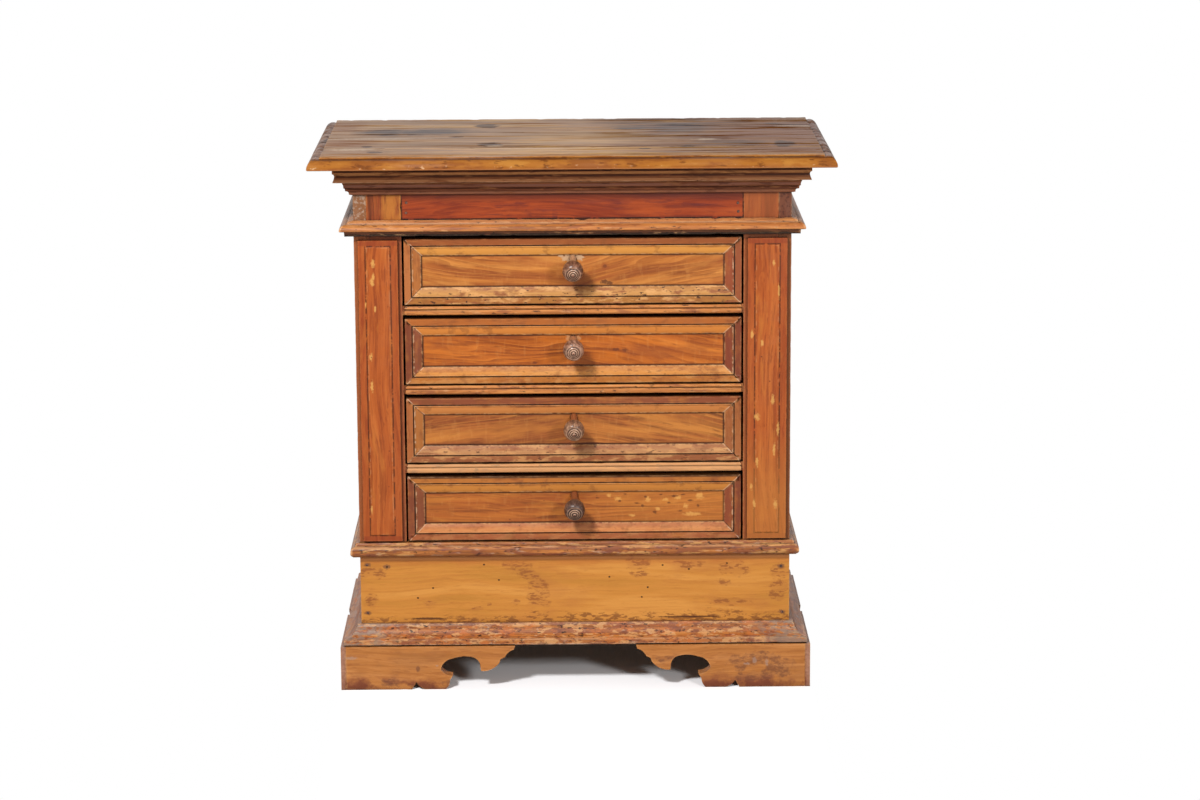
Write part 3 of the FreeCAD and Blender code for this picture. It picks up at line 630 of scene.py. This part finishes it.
for name, seed in (("left_pilaster", 11.0), ("right_pilaster", 11.6)):
    material = wood("red_walnut_" + name, 2, ("#984718", "#a85320", "#b46028"), "#783212", figure=(300, 9),
                    amounts=(0.25, 0.6, 0.5), seed=seed)
    blotch(material, "#94401c", 22, (1, 1, 6), 0.4, seed, 0.45)
    blotch(material, "#bc6e2c", 10, (1, 1, 7), 0.5, seed + 2, 0.35)
    tree = material.node_tree
    top_inset = inset_of(tree, name, 2)
    inset = calc(tree, "MINIMUM", calc(tree, "SUBTRACT", inset_of(tree, name, 0), border),
                 calc(tree, "SUBTRACT", top_inset, end_border))
    wash(material, "#8a3818", share(tree, inset, 0.5 * mm, -0.5 * mm, 0.30))
    wash(material, "#7c2e16", share(tree, top_inset, end_border, end_border - 1.5 * mm, 0.5))
    # A painted shade line follows the bevel round the raised field, with a painted highlight line just
    # inside it.
    wash(material, "#3a170a", near_line(tree, inset, 0.0, 1.3 * mm, 0.8), patchy(tree, 8, seed + 5))
    wash(material, "#c88c5c", near_line(tree, inset, 1.9 * mm, 1.1 * mm, 0.3),
         patchy(tree, 12, seed, 0.5, 0.6))
    if name == "right_pilaster":
        wash(material, "#b87634", share(tree, "Z", 340 * mm, 250 * mm, 0.45))
    mark(material, "#d09850", scars[name], ragged=1.3, grit=3.4, amount=0.8, soft=0.35)
    specks(material, "#3c180c", 10, 0.9, 0.14, 0.8, seed)
    specks(material, "#d09c68", 8, 0.8, 0.16, 0.6, seed + 1)
    weather(material, "#c07c44", wear=0.4, worm=0.08)
    aged(name, material, (2,))


# Drawers. Walnut fronts whose sunk field shows inside a planted frame of four mitred mouldings, on boxes
# of raw poplar, lapped and nailed.

frame_width = 22.2 * mm
numbers = sorted(int(body.split("_")[1]) for body in frame["bodies"] if body.startswith("drawer_"))


def field_wood(number, tones, streak, falls, colours):
    """Planed walnut face of one drawer under worn wax, golden brown with dark growth lines, and with a
    painted shade along its frame. Falls are the slopes of the grain left and right of the middle, and
    colours lay soft bands over it."""
    node = "drawer_%d_front" % number

    def bowed(tree):
        fall = calc(tree, "MULTIPLY_ADD", calc(tree, "MINIMUM", "X", 0.0), falls[0],
                    calc(tree, "MULTIPLY", calc(tree, "MAXIMUM", "X", 0.0), falls[1]))
        return add(tree, "CombineXYZ", {0: "X", 1: "Y", 2: calc(tree, "SUBTRACT", "Z", fall)}).outputs[0]

    material = wood("walnut_field_%d" % number, 0, tones, streak, figure=(300, 17), lines=7.5,
                    amounts=(0.6, 0.5, 0.4), seed=12.0 + 1.7 * number, place=bowed)
    tree = material.node_tree
    for index, colour in enumerate(colours):
        cloud = drift(tree, 26, 4.0, (5, 1, 1), 3.0 * number + index, bowed(tree))
        wash(material, colour, share(tree, cloud, 0.50, 0.62, 0.55))
    wash(material, "#d89a54", patchy(tree, 4.5, 4.0 * number, 0.56, 0.70, 0.10, 2.0, (1, 1, 4)))
    inset = calc(tree, "MINIMUM", inset_of(tree, node, 0), inset_of(tree, node, 2))
    gap = calc(tree, "SUBTRACT", inset, frame_width)
    # Painted shade along the frame, where the moulding shades the sunk field.
    wash(material, "#341608", share(tree, gap, 2.2 * mm, 0.9 * mm, 0.8))
    specks(material, "#4c220e", 11, 0.8, 0.10, 0.8, number)
    return material


def frame_wood(number, flats, slopes, pits):
    """Planed walnut moulding round one drawer, worn unevenly, whose grain turns with each mitred length.
    Flats and slopes are the colours of the outer flat and the inner slope at the top, bottom, left and
    right, and pits is how much of the bottom length is wormed."""
    node = "drawer_%d_moulding" % number

    def turned(tree):
        upright = calc(tree, "LESS_THAN", inset_of(tree, node, 0), inset_of(tree, node, 2))
        crossways = add(tree, "CombineXYZ", {0: calc(tree, "ADD", "Z", 2.0), 1: "Y", 2: "X"})
        return add(tree, "MixRGB", {0: upright, 1: place_of(tree), 2: crossways}).outputs[0]

    material = wood("walnut_frame_%d" % number, 0, ("#824320", "#985428", "#aa6630"), "#60321a",
                    figure=(220, 8), seed=15.0 + 1.3 * number, place=turned)
    tree = material.node_tree
    middle_z = sum(corner.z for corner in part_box(node)) / 2
    ends, edges = inset_of(tree, node, 0), inset_of(tree, node, 2)
    inset = calc(tree, "MINIMUM", ends, edges)
    upright = calc(tree, "LESS_THAN", ends, edges)
    right = all_of(tree, upright, calc(tree, "GREATER_THAN", "X", 0.0))
    left = calc(tree, "SUBTRACT", upright, right)
    level = calc(tree, "SUBTRACT", 1.0, upright)
    below = all_of(tree, level, calc(tree, "LESS_THAN", "Z", middle_z))
    above = calc(tree, "SUBTRACT", level, below)
    inner = share(tree, inset, 9.6 * mm, 10.4 * mm)
    outer = calc(tree, "SUBTRACT", 1.0, inner)
    mottle = patchy(tree, 9, 4.4 * number, 0.30, 0.52, 0.9, 4.0, (3, 1, 3))
    for part, flat, slope in zip((above, below, left, right), flats, slopes):
        wash(material, flat, part, outer, mottle)
        wash(material, slope, part, inner, mottle)
    wash(material, slopes[0], above, within(tree, inset, 13.5 * mm, 20.0 * mm, 1.2 * mm))
    wash(material, slopes[1], below, within(tree, inset, 11.0 * mm, 15.0 * mm, 1.2 * mm))
    # Painted shade: on the bottom slope near the field, along the bottom edge, and in a broken line round
    # the field.
    wash(material, flats[1], below, share(tree, inset, 15.0 * mm, 19.0 * mm, 0.6))
    wash(material, "#341a0c", below, share(tree, inset, 1.8 * mm, 0.6 * mm, 0.85))
    wash(material, "#3a1a0a", share(tree, inset, 20.8 * mm, 21.8 * mm, 0.75),
         patchy(tree, 14, number, 0.3, 0.4))
    # Painted shadow on the top edge of drawer 4, under the wide gap above it.
    if number == 4:
        wash(material, "#1c0e08", above, share(tree, inset, 3.4 * mm, 1.8 * mm, 0.85))
    # Worm has left bare wood, stained hollows and holes, each smaller than the one before.
    for colour, size, shift, low, high, amount, detail, pull in (
            ("#d8a064", 9, 2.2, 0.50, 0.58, 0.6, 5.0, 3.0), ("#84482a", 7, 6.2, 0.55, 0.63, 0.8, 5.0, 3.4),
            ("#351a0e", 3.6, 7.1, 0.62, 0.65, 0.95, 3.0, 2.4)):
        wash(material, colour, below,
             patchy(tree, size, shift * number, low, high, amount * pits, detail, (pull, 1, 1)))
    blotch(material, "#74401f", 10, (2, 1, 2), 0.4, 3.3 * number, 0.3, 0.08)
    # Painted shade, with some dirt, in the quirk.
    wash(material, "#2a1208", near_line(tree, inset, 9.4 * mm, 1.1 * mm, 0.8),
         patchy(tree, 12, number, 0.30, 0.42))
    wash(material, "#cfa684", near_line(tree, inset, 11.2 * mm, 1.2 * mm, 0.7),
         patchy(tree, 7, 2.0 + number, 0.5, 0.56), upright)
    mitre = calc(tree, "SUBTRACT", ends, edges)
    wash(material, "#3a1a0e", near_line(tree, mitre, 0.0, 0.9 * mm, 0.6))
    wash(material, "#d0a88c", near_line(tree, mitre, 1.5 * mm, 1.0 * mm, 0.65),
         patchy(tree, 8, 5.0 + number, 0.42, 0.50))
    specks(material, "#e8c8a4", 8, 0.8, 0.14, 0.8, number)
    specks(material, "#341508", 8, 0.9, 0.18, 0.8, 2.0 + number)
    return weather(material, "#cf9a64", wear=0.6, worm=0.15)


def knob_shade(material, number, amount):
    """A painted shade round a knob, that darkens and reddens the wood where its shadows fall."""
    knob_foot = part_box("drawer_%d_knob" % number)[0].z / mm
    mark(material, "#5a2408", [(5, knob_foot - 1, 20, 14)], ragged=0.5, grit=12, amount=amount, soft=0.5)


field_tones = {1: (("#985222", "#ac6428", "#c67e3a"), "#743814", (-0.13, 0.24), ("#9a5022", "#c8843e")),
               2: (("#94480f", "#ac5a1e", "#c47028"), "#6a2e0e", (-0.03, -0.14), ("#84401c", "#c46a1c")),
               3: (("#864620", "#a25a28", "#bc7634"), "#5c2e14", (0.13, -0.17), ("#7a401e", "#bc7432")),
               4: (("#944c1e", "#a65a24", "#bc702e"), "#6c3818", (-0.06, 0.02), ("#984e22", "#be7830"))}
frame_tones = {
    1: (("#8c4a22", "#a0682f", "#ac6636", "#8a482a"), ("#ce8a3e", "#bc864a", "#a8642e", "#8a442a"), 1.0),
    2: (("#a65c26", "#aa6628", "#703620", "#703420"), ("#c87a34", "#c88440", "#7c4028", "#783824"), 0.4),
    3: (("#804228", "#8c5230", "#a05c30", "#9c5c32"), ("#c0783c", "#b07c50", "#a4642e", "#985a34"), 0.7),
    4: (("#b06a2c", "#9c5632", "#743a24", "#743824"), ("#c07a34", "#c47c48", "#7c4228", "#803e26"), 0.25)}
knob_shade_amounts = {1: 0.6, 2: 0.3, 3: 0.35, 4: 0.35}
for number in numbers:
    drawer = "drawer_%d" % number
    field = field_wood(number, *field_tones[number])
    # A painted shade round the knob, on the field.
    knob_shade(field, number, knob_shade_amounts[number])
    if number == 1:
        torn = [(-8, 562, 6, 4.5), (0, 565, 9, 3), (8, 563, 6, 4), (-15, 565, 4, 2)]
        mark(field, "#bc9a78", torn, ragged=1.4, grit=4, amount=0.85)
        knots = [(40, 531, 5, 3), (47, 529, 4, 2.4), (9, 524.3, 7, 2), (41, 551, 2.4, 2.4)]
        mark(field, "#432013", knots, ragged=1.2, amount=0.75)
        mark(field, "#8a4420", [(41, 551, 6, 5)], ragged=0.5, amount=0.45)
    if number == 2:
        knots = [(55, 443, 5, 2), (66, 442, 4, 2.6), (-49, 426, 3.4, 1.6)]
        mark(field, "#5c2c18", knots, ragged=1.1, amount=0.7)
        mark(field, "#c08e62", [(-6, 458, 4, 4), (6, 458, 4, 3)], ragged=1.2, amount=0.6)
    if number == 4:
        wash(field, "#c67e34", share(field.node_tree, "X", 10 * mm, 90 * mm, 0.3))
        pale = [(56, 246, 4, 2.5), (95, 245, 3.5, 3), (134, 247, 4, 3), (162, 249, 5, 4),
                (152, 225, 11, 2.5), (74, 224, 3.5, 2), (118, 244, 4, 2), (44, 250, 3, 2), (144, 236, 3, 3),
                (108, 232, 3, 2)]
        mark(field, "#d89c50", pale, ragged=1.5, grit=4, amount=0.7, soft=0.4)
        pits = [(30, 247, 3, 1.2), (58, 243, 2.2, 1.5), (92, 248, 2.2, 1.4), (128, 249, 5, 1.2),
                (10, 240, 2, 2), (80, 240, 3, 1.2), (104, 228, 3, 2), (136, 229, 3.4, 1.2),
                (150, 243, 4, 1.4), (-135, 213, 14, 0.9), (160, 236, 2, 2), (66, 252, 3, 1),
                (112, 251, 2.5, 1.2), (88, 236, 2, 2), (122, 240, 2.4, 1.4), (140, 251, 3, 1)]
        mark(field, "#4c2612", pits, ragged=1.3, grit=3.0, amount=0.7, soft=0.3)
        mark(field, "#5c2e16", [(72, 235.5, 62, 0.8)], ragged=0.5, amount=0.6)
    weather(field, "#d79a58", wear=0.4, worm=0.04)
    aged(drawer + "_front", field, (0,))
    frame_finish = frame_wood(number, *frame_tones[number])
    # A painted shade round the knob, on the frame.
    knob_shade(frame_finish, number, knob_shade_amounts[number])
    aged(drawer + "_moulding", frame_finish, (0, 2), chip=0.6)
    for part, way in (("_sides", "lengthwise"), ("_back", "crosswise"), ("_bottom", "crosswise")):
        dress(drawer + part, poplar[way])


# Knobs. Turned in one piece with their shanks, of a close fruitwood, with rings cut in the head, and
# handled to a grey polish. Each sits a little lower than it was driven, in its worn hole.

turn = 2 * math.pi


def ring_of(form, centre, across, up, radius, sides):
    """Adds a ring of points round a centre."""
    angles = [turn * side / sides for side in range(sides)]
    return [form.verts.new(centre + (across * math.cos(angle) + up * math.sin(angle)) * radius)
            for angle in angles]


def skin(form, rings):
    """Closes the wall between each ring and the next."""
    for near, far in zip(rings, rings[1:]):
        for side in range(len(near)):
            form.faces.new((near[side - 1], near[side], far[side], far[side - 1]))


# Half outline, as shares of the length out from the drawer and of the radius. It starts inside the front.
knob_shares = [(-0.05, 0.30), (0.00, 0.35), (0.06, 0.325), (0.13, 0.315), (0.20, 0.325), (0.28, 0.355),
               (0.36, 0.40), (0.44, 0.49), (0.50, 0.60), (0.505, 0.66), (0.52, 0.68), (0.56, 0.82),
               (0.62, 0.93), (0.69, 0.98), (0.76, 1.0), (0.82, 0.97), (0.875, 0.90), (0.91, 0.79),
               (0.93, 0.67), (0.922, 0.62), (0.930, 0.57), (0.950, 0.51), (0.958, 0.46), (0.950, 0.41),
               (0.958, 0.35), (0.972, 0.29), (0.978, 0.25), (0.966, 0.20), (0.964, 0.14), (0.985, 0.09),
               (1.0, 0.02)]
knob_radius = 13.4 * mm
knob_length = 48.0 * mm
knob_sides = 64
shank_end = 4.5 * mm
knob_tones = {1: ("#603c2a", "#825640", "#a07258"), 2: ("#7c503c", "#9c7058", "#b88c74"),
              3: ("#6e4834", "#90664c", "#ae8466"), 4: ("#3a241e", "#523a30", "#705244")}
neck_tones = {1: "#b48a68", 2: "#ac7048", 3: "#94502a", 4: "#8e4c28"}
# How far from the tip the grooves lie, painted dark as shade and dirt, and the beads, with how much these
# are painted pale as highlight and wear.
dark_rings = (3.4, 5.9, 8.4)
pale_rings = ((2.1, 0.75), (4.7, 0.8), (7.2, 0.65), (10.2, 0.35))

for number in numbers:
    name = "drawer_%d_knob" % number
    corners = [point.co for point in nodes[name].data.vertices]
    tip = min(corners, key=lambda corner: corner.y)
    back = max(corner.y for corner in corners)
    tail = [corner for corner in corners if corner.y > back - shank_end]
    end = sum(tail, Vector()) / len(tail)
    knob_tip = Vector((0.0, tip.y, tip.z))
    out = Vector((0.0, tip.y - end.y, tip.z - end.z)).normalized()
    root = knob_tip - out * knob_length
    across = Vector((1.0, 0.0, 0.0))
    up = across.cross(out)
    form = bmesh.new()
    rings = [ring_of(form, root + out * (far * knob_length), across, up, wide * knob_radius, knob_sides)
             for far, wide in knob_shares]
    skin(form, rings)
    form.faces.new(rings[0][::-1])
    form.faces.new(rings[-1])
    bmesh.ops.recalc_face_normals(form, faces=form.faces)
    for face in form.faces:
        face.smooth = True
    material = wood("turned_fruitwood_%d" % number, 1, knob_tones[number], "#3a241c", figure=(40, 6),
                    amounts=(0.5, 0.6, 0.3), roughness=0.28, gloss=0.4, seed=20.0 + number)
    tree = material.node_tree
    reach = add(tree, "VectorMath", {0: place_of(tree), 1: knob_tip}, operation="DISTANCE").outputs["Value"]
    for radius in dark_rings:
        wash(material, "#2c1812", near_line(tree, reach, radius * mm, 1.0 * mm, 0.75))
    for radius, amount in pale_rings:
        wash(material, "#cca284", near_line(tree, reach, radius * mm, 0.8 * mm, amount))
    wash(material, "#7c3a24", share(tree, reach, 1.5 * mm, 0.8 * mm, 0.9))
    wash(material, neck_tones[number], share(tree, reach, 24 * mm, 31 * mm, 0.8))
    weather(material, "#c8a78c", wear=0.3, worm=0.0, shade_and_dirt=0.6)
    knob = new_piece(name + "_turned", form, material)
    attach(knob, body_of[name])
    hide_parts(name)


# Top. Two walnut planks glued side by side, nailed down, with an ovolo on three edges. The upper face has
# lost its wax to damp cloths and gone dull and grey; the moulded edge has kept its golden wax.

top_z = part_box("top_rear_plank")[1].z
front_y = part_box("top_front_plank")[0].y
top_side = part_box("top_rear_plank")[1].x
for name, tones, seed in (("top_front_plank", ("#744424", "#a87040", "#d09c58"), 16.0),
                          ("top_rear_plank", ("#583018", "#8e5e3a", "#b88850"), 17.0)):
    # The grain is drawn 2.6 times too coarse, since this face is seen at a low angle.
    material = wood("dull_walnut_" + name, 0, tones, "#402414", figure=(500, 46), lines=6.0,
                    amounts=(0.55, 0.85, 0.6), roughness=0.45, gloss=0.12, seed=seed, coarse=2.6)
    tree = material.node_tree
    blotch(material, "#6c3618", 40, (4.6, 1, 1), 0.7, seed, 0.4)
    blotch(material, "#cc963e", 34, (5.4, 1, 1), 0.65, seed + 3, 0.4)
    blotch(material, "#33201a", 30, (6.0, 1, 1), 0.55, seed + 6, 0.35)
    # Waxed strands mirror the room at this low angle, and dry ones do not.
    sheen = patchy(tree, 13, 31.0 + seed, 0.40, 0.64, 0.32, 4.0, (13, 1, 1))
    near_front = share(tree, "Y", front_y + 38 * mm, front_y + 24 * mm)
    handled_front = all_of(tree, near_front, patchy(tree, 30, 2.0, 0.36, 0.52, 0.8, 4.0, (4, 1, 1)))
    sheen = all_of(tree, sheen, calc(tree, "SUBTRACT", 1.0, handled_front))
    tree.links.new(sheen.outputs[0], tree.nodes["finish"].inputs["Specular IOR Level"])
    wash(material, "#cca684", share(tree, "X", 90 * mm, 10 * mm, 0.38))
    wash(material, "#5a3320", share(tree, "X", 40 * mm, 120 * mm, 0.42))
    pale = [(35, 12, 90, 50), (40, -30, 110, 30)]
    mark(material, "#c89c6c", pale, plane="XY", ragged=0.8, grit=50, amount=0.45, seed=4.0, soft=0.5)
    brown = [(262, 20, 90, 150), (-292, -45, 36, 34), (-300, 120, 30, 50)]
    mark(material, "#7c4a2c", brown, plane="XY", ragged=0.8, grit=60, amount=0.6, seed=1.0, soft=0.4)
    grey = [(-248, 64, 34, 42), (-178, 60, 60, 34), (140, 85, 52, 62), (80, 92, 36, 26), (200, -60, 50, 30)]
    cloud = marks(material, grey, plane="XY", ragged=1.1, grit=45, soft=0.45)
    wash(material, "#2e262c", cloud, patchy(tree, 12, 5.0 + seed, 0.34, 0.60, 0.9, 4.0, (12, 1, 1)))
    knots = [(-113, 116, 16, 22), (-106, -62, 14, 20), (-262, -77, 7, 9), (-250, -125, 10, 8),
             (148, -88, 9, 8), (92, -108, 8, 7), (-196, -172, 12, 9), (272, -70, 14, 30), (-150, 10, 10, 6)]
    mark(material, "#3c2318", knots, plane="XY", ragged=1.1, grit=12, amount=0.85)
    cracks = [(290, 112, 30, 3.4), (268, 124, 12, 4)]
    mark(material, "#20120b", cracks, plane="XY", ragged=0.5, amount=0.9)
    # Pale streaks of dust; the long streak on the left, along a joint, is a painted highlight.
    dust = [(-250, -3, 66, 4), (-100, -74, 12, 7), (174, -26, 16, 7), (-280, -100, 30, 9),
            (-60, -100, 70, 4), (296, 96, 26, 5)]
    mark(material, "#d8c0a8", dust, plane="XY", ragged=0.9, grit=8, amount=0.55, soft=0.4)
    wash(material, "#ac7032", handled_front)
    frontal = share(tree, "Y", front_y + 22 * mm, front_y + 16 * mm)
    endwise = share(tree, calc(tree, "ABSOLUTE", "X"), top_side - 20 * mm, top_side - 14 * mm)
    edge_band = share(tree, "Z", top_z - 0.2 * mm, top_z - 0.8 * mm, 0.92)
    gold = drift(tree, 16, 4.0, (3, 1, 1), seed)
    waxed = all_of(tree, edge_band, frontal)
    wash(material, "#9c6026", waxed)
    wash(material, "#7c4420", waxed, share(tree, gold, 0.50, 0.60, 0.7))
    wash(material, "#b47c38", waxed, share(tree, gold, 0.44, 0.34, 0.6))
    wash(material, "#7c4024", frontal, share(tree, "Z", top_z - 10 * mm, top_z - 13 * mm, 0.3))
    wash(material, "#4a2412", near_line(tree, "Z", top_z - 2.6 * mm, 1.1 * mm, 0.65),
         patchy(tree, 20, 2.0, 0.32, 0.42), frontal)
    sidelong = all_of(tree, edge_band, endwise, calc(tree, "SUBTRACT", 1.0, frontal))
    wash(material, "#6c4434", sidelong, 0.7)
    wash(material, "#2e1c18", sidelong, patchy(tree, 14, 6.0 + seed, 0.50, 0.56, 0.7, 4.0, (1, 1.6, 1)))
    # Pale violet patches on the ends are a painted glare.
    wash(material, "#c4aca4", sidelong, patchy(tree, 14, 8.0 + seed, 0.46, 0.66, 0.6, stretch=(1, 2, 1)))
    wash(material, "#dcb48c", share(tree, "Z", top_z - 8 * mm, top_z - 12 * mm),
         patchy(tree, 5, 9.0 + seed, 0.62, 0.66, 0.6, stretch=(2, 1, 1)))
    blotch(material, "#5c3018", 7, (3, 1, 1), 0.7, 3.0 + seed, 0.2, 0.05, waxed)
    specks(material, "#2c170d", 12, 1.0, 0.16, 0.8, seed)
    weather(material, "#c89a6c", wear=0.7, worm=0.06)
    wash(material, "#b87848", frontal, share(tree, "Z", top_z - 13.0 * mm, top_z - 14.2 * mm, 0.6))
    aged(name, material, (0, 1) if name == "top_rear_plank" else (0,), chip=1.0)


# Nails. Small forged nails with domed, rusted heads, driven in at the ends of the plinth and frieze boards.
# The iron is brown with rust, and nearly dull.

iron = new_finish("rusted_iron_nails", "#3a2a24", {"Roughness": 0.6, "Metallic": 0.3})
wash(iron, "#7c5240", patchy(iron.node_tree, 2, 0.0, 0.45, 0.60))
nail_radius = 2.1 * mm
nail_height = 0.5 * mm
nail_sides = 14
frieze_nails = [(-210.5, 635), (210, 632), (-211, 622), (210.5, 621)]
across, up, outward = Vector((1, 0, 0)), Vector((0, 0, 1)), Vector((0, -nail_height, 0))
form = bmesh.new()
for board, places in (("plinth_board", plinth_nails), ("frieze_board", frieze_nails)):
    for x, z in places:
        centre = Vector((x * mm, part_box(board)[0].y, z * mm))
        rim = ring_of(form, centre - outward, across, up, nail_radius, nail_sides)
        shoulder = ring_of(form, centre + 0.75 * outward, across, up, 0.7 * nail_radius, nail_sides)
        crown = form.verts.new(centre + outward)
        skin(form, [rim, shoulder])
        for side in range(nail_sides):
            form.faces.new((shoulder[side - 1], shoulder[side], crown))
        form.faces.new(rim)
bmesh.ops.recalc_face_normals(form, faces=form.faces)
nails = new_piece("nails", form, iron)
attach(nails, body_of["plinth_board"])


# Camera, at the photograph's place and angle, in metres and radians.

camera_place = (-0.0084, -4.443, 1.3113)
camera_pitch = 0.213285
camera_yaw = 0.00976
camera_roll = -0.005456
camera = new_object("camera", bpy.data.cameras.new("camera"))
camera.data.sensor_width = 36.0
camera.data.lens = 103.09
camera.matrix_world = (Matrix.Translation(camera_place) @ Matrix.Rotation(-camera_yaw, 4, "Z")
                       @ Matrix.Rotation(turn / 4 - camera_pitch, 4, "X")
                       @ Matrix.Rotation(camera_roll, 4, "Z"))
bpy.context.scene.camera = camera


# Lamps. A key lamp high on the left and a lower, weaker one on the right, whose shadows of the knobs
# fall to the lower right and to the left.

lamp_distance = 2.8


def softbox(name, towards, size, watts):
    """Square area lamp that shines on the middle of the front from a direction."""
    aim = Vector((0.0, -0.1, 0.3))
    lamp = new_object(name, bpy.data.lights.new(name, "AREA"))
    lamp.data.size = size
    lamp.data.energy = watts
    lamp.location = aim + Vector(towards).normalized() * lamp_distance
    lamp.rotation_euler = (aim - lamp.location).to_track_quat("-Z", "Y").to_euler()


softbox("key_lamp", (-0.5, -1.107, 1.0), 0.35, 66)
softbox("fill_lamp", (1.4, -2.6, 1.0), 0.4, 29)


# Floor and studio. White paper that keeps the chest's shadow, and fades to a white room beside and
# behind it.

floor_half = 8.0
# The part of the floor that keeps its shadow, from the middle of the chest.
shadow_half, shadow_back, shadow_front = 0.292, 0.19, 0.9
floor_mesh = bpy.data.meshes.new("floor")
floor_signs = ((-1, -1), (1, -1), (1, 1), (-1, 1))
floor_mesh.from_pydata([(x * floor_half, y * floor_half, 0) for x, y in floor_signs], [], [(0, 1, 2, 3)])
floor = new_object("floor", floor_mesh)
paper = blank(bpy.data.materials, "white_paper_floor")
tree = paper.node_tree
seen = add(tree, "LightPath").outputs["Is Camera Ray"]
tone = add(tree, "MixRGB", {0: seen, 1: (0.55, 0.55, 0.55, 1), 2: (1.25, 1.25, 1.27, 1)})
lit = add(tree, "BsdfDiffuse", {"Color": tone})
beside = calc(tree, "SUBTRACT", calc(tree, "ABSOLUTE", "X"), shadow_half)
behind = calc(tree, "SUBTRACT", "Y", shadow_back)
ahead = calc(tree, "SUBTRACT", calc(tree, "MULTIPLY", "Y", -1.0), shadow_front)
away = calc(tree, "MAXIMUM", calc(tree, "MAXIMUM", beside, behind), ahead)
faded = all_of(tree, share(tree, away, 0.0, 0.015), seen)
glow = add(tree, "Emission", {"Color": (1, 1, 1, 1), "Strength": 1.0})
add(tree, "OutputMaterial", {"Surface": add(tree, "MixShader", {0: faded, 1: lit, 2: glow})})
floor_mesh.materials.append(paper)

world = blank(bpy.data.worlds, "studio")
bpy.context.scene.world = world
tree = world.node_tree
path = add(tree, "LightPath")
seen = calc(tree, "MAXIMUM", path.outputs["Is Camera Ray"],
            calc(tree, "MAXIMUM", path.outputs["Is Glossy Ray"], path.outputs["Is Transmission Ray"]))
strength = add(tree, "MapRange", {0: seen, 3: 0.17, 4: 1.0})
add(tree, "OutputWorld", {"Surface": add(tree, "Background", {"Color": (1, 1, 1, 1), "Strength": strength})})
bpy.context.scene.view_settings.view_transform = "Standard"
